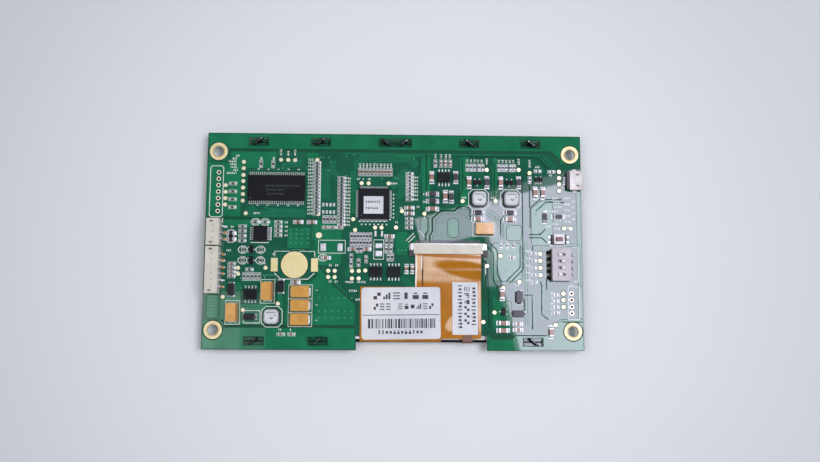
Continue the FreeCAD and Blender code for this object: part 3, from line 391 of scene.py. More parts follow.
class Finishes:
    """Every finish on the module, named for the real material and process."""

    # Mask over bare laminate: deep green and mirror smooth, so the lamps show in it.
    MASK = MaskedBoard("solder_mask_on_laminate", "#17523E", 0.025, "#1B5C46", patch_mm=9.0,
                       relief_mm=0.00015, ior=1.52)
    # The same mask over copper: the metal below turns it a lighter green.
    MASKED_COPPER = Finish("solder_mask_on_copper", "#186848", 0.025, "#1C744F", patch_mm=7.0, grain_mm=0.8,
                           relief_mm=0.00015, ior=1.52)
    # Mask over tracks: the lightest green, on tracks drawn wider than real ones so that they show.
    TRACK = Finish("solder_mask_on_fine_tracks", "#227C58", 0.03, "#1F7251", patch_mm=5.0, relief_mm=0.0002,
                   ior=1.52)
    # Mask that sank between copper areas: darker, with painted shade for the slopes that turn the lamps away.
    # Beside the flex the same dark lines are the flex's painted shadow.
    MASK_GAP_SHADE = Finish("solder_mask_in_gaps_with_painted_shade", "#11432F", 0.5, "#154A35", patch_mm=6.0, relief_mm=0.001,
                      ior=1.2)
    # The step of the mask at a copper rim: a dull dark line of painted shade, drawn wider than the real one
    # so that it shows. The same painted shade rings the slots, the test pads and the holes.
    MASK_STEP_SHADE = Finish("painted_shade_at_mask_step", "#0C3325", 0.6, "#0F3A2A", patch_mm=6.0,
                       relief_mm=0.001, ior=1.15)
    # Screened ink: flat white that greys where it is thin.
    INK = Finish("printed_silkscreen_ink", "#DCE2DC", 0.36, "#C4CEC7", patch_mm=1.2, relief_mm=0.004)
    # Mask domed over a via: a pale green dot.
    VIA = Finish("solder_mask_over_via", "#4A9070", 0.3, "#3C8162", patch_mm=2.0, relief_mm=0.003)
    # Thin gold over nickel: cream rather than yellow, satin from the copper below.
    GOLD = Finish("immersion_gold_on_nickel", "#EEEFCC", 0.5, "#E6E6BA", metallic=0.85, coat=0.6,
                  patch_mm=2.0, grain_mm=0.12, relief_mm=0.002)
    # The same plating on the wide cell pad, where its yellow shows.
    CELL_GOLD = Finish("immersion_gold_on_cell_pad", "#E8DFA8", 0.5, "#E2D79C", metallic=1.0, patch_mm=3.0,
                       grain_mm=0.12, relief_mm=0.002)
    # The same plating round the corner holes, dulled a little by handling.
    RING_GOLD = Finish("immersion_gold_on_hole_ring", "#F0E8BC", 0.6, "#E8DDA4", metallic=0.8, coat=0.2,
                       patch_mm=1.5, grain_mm=0.12, relief_mm=0.004)
    # Thinner gold on the header lands: nearly white.
    PALE_RING = Finish("thin_gold_on_header_land", "#EFEAD6", 0.5, "#E4DEC6", metallic=0.5, coat=0.6,
                       patch_mm=1.0, relief_mm=0.003)
    # An orange line: painted shade on the inner bevel of each hole ring. The socket joints get the same orange.
    ORANGE_GOLD_AND_BEVEL_SHADE = Finish("orange_gold_and_painted_bevel_shade", "#C79A5A", 0.6, "#B68648", metallic=0.7, patch_mm=1.0,
                       grain_mm=0.12, relief_mm=0.004)
    # Solder as it froze: bright grey metal, mottled.
    SOLDER = Finish("reflowed_tin_solder", "#E2E6E4", 0.45, "#BEC3C1", metallic=1.0, patch_mm=0.6,
                    grain_mm=0.3)
    # Plated leads: satin metal, a little darker than the solder at their feet.
    TIN = Finish("matt_tin_plated_leads", "#D4D7D6", 0.36, "#BCC0BE", metallic=1.0, patch_mm=0.7,
                 grain_mm=0.12, relief_mm=0.004)
    # Filled epoxy from an etched mould: black and matt, against which the leads stand out.
    MOULD = Finish("moulded_black_epoxy", "#080D12", 0.5, "#060A0F", ior=1.3, patch_mm=2.5, grain_mm=0.12,
                   relief_mm=0.008)
    # Epoxy from a polished mould: black with a soft shine.
    DIODE = Finish("moulded_glossy_epoxy", "#15161B", 0.26, "#101116", patch_mm=1.5, grain_mm=0.2,
                   relief_mm=0.002, ior=1.42)
    # The glaze on the larger chips: black, half shiny.
    SHELL_EPOXY = Finish("black_glazed_chip_body", "#131418", 0.42, "#1C1D21", patch_mm=0.8, grain_mm=0.2,
                         relief_mm=0.003)
    # The inside of a hole, from which hardly any light comes back.
    SHADE = Finish("hole_in_shade", "#030504", 0.9, "#060807", patch_mm=1.0, relief_mm=0.001, ior=1.1)
    # A glossy green sheet at the bottom of each slot: painted shade for the slot's dark green inside.
    # It mirrors the lamps like the mask.
    SLOT_SHADE_SHEET = Finish("green_sheet_of_painted_slot_shade", "#1B5A43", 0.08, "#164D39", patch_mm=1.5, relief_mm=0.001)
    # Tin on the switch's leads, darkened to a brownish grey as painted shade, with hardly a shine.
    SHADED_LEAD = Finish("tin_leads_in_painted_shade", "#827E68", 0.6, "#6B6856", metallic=0.4, patch_mm=0.6,
                       relief_mm=0.004)
    # Blocks beside the switch, between its leads: a matt green black of painted shade.
    SWITCH_SIDE_SHADE = Finish("painted_shade_beside_switch", "#131A14", 0.7, "#0E130F", patch_mm=0.8, ior=1.2)
    # A browner strip along the side of an amber body: painted shade.
    AMBER_SIDE_SHADE = Finish("painted_shade_on_amber_side", "#9A6420", 0.4, "#8C5A1C", patch_mm=1.5,
                        relief_mm=0.006)
    # Fresh metal where a tab was sheared: a bright spot.
    BRIGHT_STEEL = Finish("bare_sheared_steel", "#D5D8DA", 0.3, "#B5B8BA", metallic=1.0, patch_mm=0.4,
                          relief_mm=0.004)
    # Epoxy scorched by a laser: a faint grey mark.
    LASER = Finish("laser_marked_epoxy", "#2C3237", 0.7, "#232A2F", patch_mm=1.0, grain_mm=0.1,
                   relief_mm=0.006)
    # Undyed nylon: warm ivory with a soft sheen.
    NYLON = Finish("moulded_natural_nylon", "#C7C5B8", 0.42, "#BBB9AB", patch_mm=5.0, grain_mm=0.3)
    # The bottom of a dimple in that nylon, dimmer than its face.
    SHADE_NYLON = Finish("nylon_in_shade", "#8D8A7D", 0.6, "#9A978A", patch_mm=1.0)
    # Dyed nylon: dark grey, satin.
    DARK_NYLON = Finish("moulded_dark_nylon", "#2A2B2C", 0.45, "#222324", patch_mm=3.0, grain_mm=0.2)
    # Amber film over bright copper: fine stripes, with a painted sheen where it bulged towards the lamps,
    # painted glints, and the socket's painted shadow.
    FLEX = TracedFlex("polyimide_film_on_copper", "#B0721A", 0.14, "#A0660F", patch_mm=7.0, relief_mm=0.02,
                      ior=1.4, film="#84520C", sheen="#E2C2A0", trace_mm=0.8,
                      sheen_patches=((19.0, -9.2, 44.0, 7.6, 0.0), (23.3, -31.2, 5.0, 3.0, 42.0),
                              (33.0, -25.0, 1.2, 12.0, 0.0)),
                      # The sheen gaps keep a band across the middle amber, and the painted shadow under the
                      # socket.
                      sheen_gaps=((29.0, -11.4, 16.0, 3.9, -11.0), (20.0, -5.7, 19.0, 1.0, -3.0)),
                      seams=((10.85, -12.0, 0.36, 8.0, 0.0),),
                      glints=((8.3, -11.8, 0.4, 8.0, 0.0), (10.5, -8.4, 0.26, 3.4, 0.0)))
    # Thick brown film without bright copper below: dark and dull.
    TAIL = TracedFlex("dark_polyimide_tail", "#6B4012", 0.5, "#4A2C0C", patch_mm=3.0, relief_mm=0.08,
                      trace_mm=0.9, film="#4E2C10", ior=1.6)
    # Coated paper: pale grey with a faint bluish drift and a satin face.
    PAPER = Finish("coated_paper_label", "#CFD1D0", 0.38, "#BDC2C9", patch_mm=12.0, grain_mm=0.35,
                   relief_mm=0.004)
    # Printer's black on the labels: dark and dull, greyer where it is thin.
    PRINT = Finish("black_label_print", "#1E1E22", 0.5, "#2C2C31", patch_mm=0.8, relief_mm=0.002)
    # Pressed ferrite powder: dark grey and gritty.
    FERRITE = Finish("pressed_ferrite", "#2E3033", 0.6, "#3A3C3E", patch_mm=1.0, grain_mm=0.15,
                     relief_mm=0.02)
    # Resin poured on the inductors: pale grey, not quite even.
    RESIN = Finish("cast_pale_resin", "#C9CDD0", 0.4, "#BABEC2", patch_mm=2.0, grain_mm=0.3, relief_mm=0.02)
    # Amber epoxy: orange tan under a thin shine.
    AMBER = Finish("moulded_amber_epoxy", "#C8974A", 0.26, "#BC8838", coat=0.3, patch_mm=2.5, grain_mm=0.2)
    # Glass over a resistor's film: dark grey, glassy.
    RESISTOR = Finish("glazed_thick_film", "#3C3D41", 0.24, "#4B4C50", patch_mm=0.6, grain_mm=0.15,
                      relief_mm=0.004)
    # Fired ceramic: reddish brown with a hard sheen.
    CERAMIC = Finish("fired_brown_ceramic", "#8C6A57", 0.3, "#7A5B4B", patch_mm=0.7, grain_mm=0.15,
                     relief_mm=0.004)
    # Thermoset body of the switch: mauve grey, satin.
    SWITCH = Finish("moulded_grey_thermoset", "#A7A1A6", 0.36, "#9E989E", patch_mm=3.0, grain_mm=0.2)
    # White plastic, the brightest thing on the switch.
    LEVER = Finish("moulded_white_lever", "#E6E6E0", 0.4, "#DADAD4", patch_mm=1.0)
    # Dyed plastic: a dark red dot.
    MAROON = Finish("moulded_maroon_button", "#6A2C38", 0.4, "#5C2430", patch_mm=1.0)
    # Nickel over rolled steel: soft grey with long fine lines.
    SHELL = RolledSteel("nickel_plated_sheet_steel", "#BDBDB6", 0.5, "#ABABA5", metallic=0.55, patch_mm=2.0,
                        grain_mm=0.12, relief_mm=0.004)
    # Spring strip deep in its socket: mid grey.
    CONTACT = Finish("plated_contact_strip", "#66686D", 0.5, "#505257", metallic=0.6, patch_mm=1.0,
                     relief_mm=0.004)
    # Black coat on rolled steel: nearly black, matt.
    BEZEL = RolledSteel("black_coated_sheet_steel", "#08090A", 0.6, "#0E0F10", patch_mm=1.6, grain_mm=0.2,
                        relief_mm=0.006, ior=1.3)
    # The coat broken along a sheared edge: grey metal streaked with black.
    CUT_STEEL = RolledSteel("sheared_steel_edge", "#6E6F6F", 0.4, "#2A2B2B", metallic=1.0, patch_mm=0.5,
                            grain_mm=0.15)
    # White plastic round the panel: clean, with a soft sheen.
    FRAME = Finish("moulded_white_polycarbonate", "#DEDFDC", 0.4, "#D3D4D0", patch_mm=8.0)
    # Polariser: a nearly black mirror.
    POLARISER = Finish("glossy_polariser_film", "#0B0C10", 0.08, "#0D0F15", patch_mm=30.0, grain_mm=2.0,
                       relief_mm=0.002)
    # Thin glass: clear, with a green tinge.
    GLASS = Finish("thin_display_glass", "#C9DDD6", 0.05, "#C2D8D0", patch_mm=20.0, relief_mm=0.001,
                   ior=1.52, transmission=0.6)
    # Optical film: pale, satin.
    FILM = Finish("extruded_optical_film", "#E4E8EA", 0.3, "#DDE2E4", patch_mm=15.0, relief_mm=0.002)
    # Foam: black, with pores drawn larger than real ones so that they show.
    FOAM = Finish("black_foam_tape", "#1C1C1C", 0.95, "#262626", patch_mm=0.8, grain_mm=0.4, relief_mm=0.1)


@dataclass(frozen=True)
class Stamp:
    """One repeat of a small form: its place, its size along X, Y and Z, and its turn in degrees."""

    x: float
    y: float
    z: float
    size: tuple[float, float, float]
    turn: float = 0.0


class Form(Enum):
    """Small forms that repeat over the board, each one unit in size and standing on its underside."""

    BLOCK = "block"
    DISC = "disc"
    RING = "ring"
    HOOP = "hoop"
    LAND = "land"
    END_CAP = "end_cap"
    FILLET = "fillet"
    DOME = "dome"


def new_mesh(name: str, build: Callable[[bmesh.types.BMesh], None]) -> bpy.types.Mesh:
    """Make a mesh with bmesh code.

    Args:
        name: the mesh's name.
        build: fills the bmesh.

    Returns:
        The finished mesh, its faces pointing outwards.
    """
    work = bmesh.new()
    build(work)
    bmesh.ops.recalc_face_normals(work, faces=work.faces)
    mesh = bpy.data.meshes.new(name)
    work.to_mesh(mesh)
    work.free()
    return mesh


def prism_along_y(work: bmesh.types.BMesh, outline: Sequence[Point], half: Sequence[float]) -> None:
    """Raise a side view in X and Z to both sides of the middle.

    Args:
        work: gets the prism.
        outline: corners of the side view.
        half: for each corner, how far it reaches along Y.
    """
    rows = [[work.verts.new((x, side * h, z)) for (x, z), h in zip(outline, half)] for side in (-1, 1)]
    work.faces.new(rows[0])
    work.faces.new(list(reversed(rows[1])))
    count = len(outline)
    for i in range(count):
        j = (i + 1) % count
        work.faces.new((rows[0][i], rows[1][i], rows[1][j], rows[0][j]))


def tube_of_rings(work: bmesh.types.BMesh, rings: Sequence[tuple[float, float]], sides: int) -> None:
    """Turn a profile about Z.

    Args:
        work: gets the turned form.
        rings: radius and height, from the first ring to the last; a radius of zero closes to a point.
        sides: facets round the axis.
    """
    made = []
    for radius, height in rings:
        if radius == 0:
            made.append([work.verts.new((0, 0, height))])
            continue
        turn = 2 * math.pi / sides
        made.append([work.verts.new((radius * math.cos(k * turn), radius * math.sin(k * turn), height))
                     for k in range(sides)])
    for low, high in zip(made, made[1:]):
        for k in range(sides):
            n = (k + 1) % sides
            corners = [low[k % len(low)], low[n % len(low)], high[n % len(high)], high[k % len(high)]]
            work.faces.new(list(dict.fromkeys(corners)))


def form_mesh(form: Form) -> bpy.types.Mesh:
    """Build the mesh of a repeated form at unit size.

    Args:
        form: which one.

    Returns:
        The mesh.
    """
    def build(work: bmesh.types.BMesh) -> None:
        """Fill the mesh with the form.

        Args:
            work: the mesh being built.
        """
        if form is Form.BLOCK:
            prism_along_y(work, [(-0.5, 0), (0.5, 0), (0.5, 1), (-0.5, 1)], [0.5] * 4)
        elif form is Form.LAND:
            top = 0.42
            prism_along_y(work, [(-0.5, 0), (0.5, 0), (top, 1), (-top, 1)], [0.5, 0.5, top, top])
        elif form is Form.DISC:
            tube_of_rings(work, [(0, 0), (0.5, 0), (0.5, 0.7), (0.46, 1), (0, 1)], 20)
        elif form is Form.RING:
            tube_of_rings(work, [(0.29, 0), (0.5, 0), (0.49, 1), (0.3, 1), (0.29, 0)], 28)
        elif form is Form.HOOP:
            tube_of_rings(work, [(0.455, 0), (0.5, 0), (0.5, 1), (0.455, 1), (0.455, 0)], 28)
        elif form is Form.DOME:
            tube_of_rings(work, [(0, 0), (0.5, 0), (0.47, 0.45), (0.34, 0.8), (0.16, 0.97), (0, 1)], 12)
        elif form is Form.END_CAP:
            side = [(-0.34, 0), (-0.34, 1.03), (0.0, 1.03), (0.05, 0.85), (0.16, 0.4), (0.34, 0.14),
                    (0.56, 0.03), (0.56, 0)]
            prism_along_y(work, side, [0.53, 0.53, 0.53, 0.53, 0.52, 0.5, 0.46, 0.46])
        else:
            side = [(-0.05, 0), (-0.05, 0.75), (0.03, 0.7), (0.16, 0.36), (0.34, 0.13), (0.6, 0.03),
                    (0.6, 0)]
            prism_along_y(work, side, [0.53, 0.53, 0.53, 0.52, 0.5, 0.47, 0.47])

    return new_mesh("form_" + form.value, build)


def group_tree(name: str, sockets: Sequence[tuple[str, str]]) -> tuple[Tree, Node]:
    """Start a Geometry Nodes tree with named inputs and one geometry output.

    Args:
        name: the tree's name.
        sockets: name and socket type of each input, the geometry first.

    Returns:
        The tree and its input node.
    """
    tree = bpy.data.node_groups.new(name, "GeometryNodeTree")
    for label, kind in sockets:
        tree.interface.new_socket(label, in_out="INPUT", socket_type=kind)
    tree.interface.new_socket("Result", in_out="OUTPUT", socket_type="NodeSocketGeometry")
    return tree, add_node(tree, "NodeGroupInput")


def close_tree(tree: Tree, source: Node, shape: Socket) -> Tree:
    """End a tree in Realize Instances and Set Material.

    Args:
        tree: the tree.
        source: its input node, with a Material socket.
        shape: the geometry so far.

    Returns:
        The same tree.
    """
    real = add_node(tree, "GeometryNodeRealizeInstances", {"Geometry": shape})
    dress = add_node(tree, "GeometryNodeSetMaterial", {"Geometry": real.outputs["Geometry"],
                                                       "Material": source.outputs["Material"]})
    add_node(tree, "NodeGroupOutput", {"Result": dress.outputs["Geometry"]})
    return tree


def strip_tree() -> Tree:
    """Build the tree that lays a flat strip of one width along every line of a wire mesh.

    Returns:
        The tree.
    """
    made = bpy.data.node_groups.get("strips_along_lines")
    if made:
        return made
    tree, source = group_tree("strips_along_lines", [
        ("Lines", "NodeSocketGeometry"), ("Width", "NodeSocketFloat"), ("Height", "NodeSocketFloat"),
        ("Material", "NodeSocketMaterial")])
    curve = add_node(tree, "GeometryNodeMeshToCurve", {"Mesh": source.outputs["Lines"]})
    level = add_node(tree, "GeometryNodeSetCurveNormal", {"Curve": curve.outputs["Curve"]}, mode="Z_UP")
    section = add_node(tree, "GeometryNodeCurvePrimitiveQuadrilateral", {
        "Width": source.outputs["Width"], "Height": source.outputs["Height"]})
    body = add_node(tree, "GeometryNodeCurveToMesh", {
        "Curve": level.outputs["Curve"], "Profile Curve": section.outputs["Curve"], "Fill Caps": True})
    flat = add_node(tree, "GeometryNodeSetShadeSmooth", {
        "Geometry": body.outputs["Mesh"], "Shade Smooth": False})
    return close_tree(tree, source, flat.outputs["Geometry"])


def stamp_tree() -> Tree:
    """Build the tree that sets a small form on every point, by the point's own size and turn.

    Returns:
        The tree.
    """
    made = bpy.data.node_groups.get("stamps_on_points")
    if made:
        return made
    tree, source = group_tree("stamps_on_points", [
        ("Points", "NodeSocketGeometry"), ("Form", "NodeSocketObject"), ("Size", "NodeSocketFloat"),
        ("Material", "NodeSocketMaterial")])
    form = add_node(tree, "GeometryNodeObjectInfo", {"Object": source.outputs["Form"], "As Instance": True})
    size = add_node(tree, "GeometryNodeInputNamedAttribute", {"Name": "size"}, data_type="FLOAT_VECTOR")
    scaled = add_node(tree, "ShaderNodeVectorMath", {
        0: size.outputs["Attribute"], "Scale": source.outputs["Size"]}, operation="SCALE")
    turn = add_node(tree, "GeometryNodeInputNamedAttribute", {"Name": "turn"}, data_type="FLOAT")
    about = add_node(tree, "ShaderNodeCombineXYZ", {"Z": turn.outputs["Attribute"]})
    spin = add_node(tree, "FunctionNodeEulerToRotation", {"Euler": about.outputs["Vector"]})
    spread = add_node(tree, "GeometryNodeInstanceOnPoints", {
        "Points": source.outputs["Points"], "Instance": form.outputs["Geometry"],
        "Rotation": spin.outputs["Rotation"], "Scale": scaled.outputs["Vector"]})
    return close_tree(tree, source, spread.outputs["Instances"])


def new_object(name: str, data: bpy.types.ID) -> Object:
    """Link an object at the origin.

    Args:
        name: its name.
        data: its mesh or curve.

    Returns:
        The object.
    """
    made = bpy.data.objects.new(name, data)
    bpy.context.scene.collection.objects.link(made)
    return made


def settled(source: Object, name: str) -> Object:
    """Turn an object with live modifiers, or a curve, into a plain mesh object.

    Args:
        source: the object, which is removed.
        name: the new object's name.

    Returns:
        The plain mesh object.
    """
    bpy.context.view_layer.update()
    mesh = bpy.data.meshes.new_from_object(source.evaluated_get(bpy.context.evaluated_depsgraph_get()))
    bpy.data.objects.remove(source)
    mesh.name = name
    return new_object(name, mesh)


def with_nodes(source: Object, tree: Tree, values: dict[str, Any]) -> None:
    """Put a Geometry Nodes modifier on an object, its inputs set by their identifiers.

    Args:
        source: the object.
        tree: the node tree.
        values: input values by socket name.
    """
    modifier = source.modifiers.new(tree.name, "NODES")
    modifier.node_group = tree
    for item in tree.interface.items_tree:
        if item.in_out == "INPUT" and item.name in values:
            modifier[item.identifier] = values[item.name]


def dressed(piece: Object, body: str = "root") -> Object:
    """Tie a piece to its body, and report it.

    Args:
        piece: the object.
        body: the body that it rides on.

    Returns:
        The piece.
    """
    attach(piece, body)
    LOG.info("%s: %d faces", piece.name, len(piece.data.polygons))
    return piece


def strips(name: str, lines: Iterable[Line], width: float, level: float, height: float, finish: Finish) -> Object:
    """Lay flat strips along lines.

    Args:
        name: the piece's name.
        lines: each a row of points; one whose last point is its first is closed.
        width: the strip's width.
        level: height of the strip's underside.
        height: the strip's thickness.
        finish: its finish.

    Returns:
        The piece.
    """
    mesh = bpy.data.meshes.new(name + "_lines")
    points: list[tuple[float, float, float]] = []
    edges: list[tuple[int, int]] = []
    for line in lines:
        start = len(points)
        closed = tuple(line[0]) == tuple(line[-1]) and len(line) > 2
        kept = line[:-1] if closed else line
        points += [(x * MM, y * MM, (level + height / 2) * MM) for x, y in kept]
        edges += [(start + i, start + i + 1) for i in range(len(kept) - 1)]
        if closed:
            edges.append((start + len(kept) - 1, start))
    mesh.from_pydata(points, edges, [])
    wire = new_object(name + "_wire", mesh)
    with_nodes(wire, strip_tree(), {"Width": width * MM, "Height": height * MM,
                                    "Material": finish.material()})
    return dressed(settled(wire, name))


def stamps(name: str, form: Form, places: Sequence[Stamp], finish: Finish, body: str = "root") -> Optional[Object]:
    """Set one small form on many places.

    Args:
        name: the piece's name.
        form: the form.
        places: where it goes, and how large.
        finish: its finish.
        body: the body that it rides on.

    Returns:
        The piece, or nothing where there is no place.
    """
    if not places:
        return None
    mesh = bpy.data.meshes.new(name + "_points")
    mesh.from_pydata([(p.x * MM, p.y * MM, p.z * MM) for p in places], [], [])
    mesh.attributes.new("size", "FLOAT_VECTOR", "POINT")
    mesh.attributes.new("turn", "FLOAT", "POINT")
    for i, place in enumerate(places):
        mesh.attributes["size"].data[i].vector = place.size
        mesh.attributes["turn"].data[i].value = math.radians(place.turn)
    cloud = new_object(name + "_cloud", mesh)
    template = new_object("template_" + form.value, form_mesh(form))
    with_nodes(cloud, stamp_tree(), {"Form": template, "Size": MM, "Material": finish.material()})
    piece = settled(cloud, name)
    bpy.data.objects.remove(template)
    return dressed(piece, body)


def circle(x: float, y: float, radius: float, sides: int = 28) -> list[Point]:
    """Return a closed ring of points round a centre."""
    angles = [k % sides * (2 * math.pi / sides) for k in range(sides + 1)]
    return [(x + radius * math.cos(angle), y + radius * math.sin(angle)) for angle in angles]


def rectangle(x0: float, x1: float, y0: float, y1: float, corner: float = 0.0) -> list[Point]:
    """Build a closed rectangle.

    Args:
        x0, x1, y0, y1: its sides.
        corner: the chamfer at its corners, none where it is zero.

    Returns:
        Its points.
    """
    if corner == 0:
        return [(x0, y0), (x1, y0), (x1, y1), (x0, y1), (x0, y0)]
    c = corner
    return [(x0 + c, y0), (x1 - c, y0), (x1, y0 + c), (x1, y1 - c), (x1 - c, y1), (x0 + c, y1), (x0, y1 - c),
            (x0, y0 + c), (x0 + c, y0)]


def in_row(x: float, middle: float, count: int, pitch: float) -> list[Point]:
    """Return places in a row along Y, about its middle."""
    return [(x, middle + pitch * (i - (count - 1) / 2)) for i in range(count)]


def bus(path: Line, count: int, pitch: float) -> list[Line]:
    """Run parallel tracks beside one path, mitred at its corners.

    Args:
        path: the middle path.
        count: how many tracks.
        pitch: their distance.

    Returns:
        The tracks.
    """
    tracks = []
    for number in range(count):
        offset = (number - (count - 1) / 2) * pitch
        track = []
        for i, (x, y) in enumerate(path):
            before = Vector(path[i]) - Vector(path[i - 1]) if i > 0 else Vector(path[1]) - Vector(path[0])
            after = Vector(path[i + 1]) - Vector(path[i]) if i < len(path) - 1 else before
            normal = Vector((-before.y, before.x)).normalized() + Vector((-after.y, after.x)).normalized()
            normal.normalize()
            lean = normal.dot(Vector((-before.y, before.x)).normalized())
            shift = normal * (offset / max(lean, 0.5))
            track.append((x + shift.x, y + shift.y))
        tracks.append(track)
    return tracks


def every_track(*rows: tuple[Line, int, float]) -> list[Line]:
    """Return the tracks of every bus, each given by its path, the number of its tracks and their pitch."""
    return [track for path, count, pitch in rows for track in bus(path, count, pitch)]


@dataclass(frozen=True)
class Box:
    """The bounds of one solid, in millimetres."""

    low: Vector
    high: Vector

    @property
    def centre(self) -> Vector:
        """Return the middle of the box."""
        return (self.low + self.high) / 2

    @property
    def size(self) -> Vector:
        """Return the extents of the box."""
        return self.high - self.low

    @property
    def upright(self) -> bool:
        """Say whether the box is longer along Y than along X."""
        return self.size.y > self.size.x

    @property
    def small(self) -> bool:
        """Say whether the box is that of one of the smallest chips."""
        return min(self.size.x, self.size.y) <= SMALL_CHIP

    def outline(self, past_ends: float, past_sides: float) -> list[Point]:
        """Return a rectangle round the box, so far past its ends and its sides."""
        u, v = (past_sides, past_ends) if self.upright else (past_ends, past_sides)
        return rectangle(self.low.x - u, self.high.x + u, self.low.y - v, self.high.y + v)


def solids(frame: dict[str, Any], node: str) -> list[Box]:
    """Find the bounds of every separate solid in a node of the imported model.

    Args:
        node: the node's name.

    Returns:
        The boxes, in millimetres.
    """
    mesh = frame["nodes"][node].data
    keys: dict[tuple[int, int, int], int] = {}
    spots: list[Vector] = []
    welded = []
    for vertex in mesh.vertices:
        key = tuple(round(c * 1e6) for c in vertex.co)
        if key not in keys:
            keys[key] = len(spots)
            spots.append(vertex.co / MM)
        welded.append(keys[key])
    leader = list(range(len(spots)))

    def find(i: int) -> int:
        """Follow a point to the leader of its solid.

        Args:
            i: the point's number.

        Returns:
            The leader's number.
        """
        while leader[i] != i:
            leader[i] = leader[leader[i]]
            i = leader[i]
        return i

    for face in mesh.polygons:
        first = find(welded[face.vertices[0]])
        for corner in face.vertices[1:]:
            leader[find(welded[corner])] = first
    groups: dict[int, list[Vector]] = {}
    for i, spot in enumerate(spots):
        groups.setdefault(find(i), []).append(spot)
    return [Box(*(Vector(limit(p[k] for p in group) for k in range(3)) for limit in (min, max)))
            for group in groups.values()]


def chips(frame: dict[str, Any]) -> list[Box]:
    """Return the bounds of every chip resistor and chip capacitor."""
    return solids(frame, "chip_resistors") + solids(frame, "chip_capacitors")


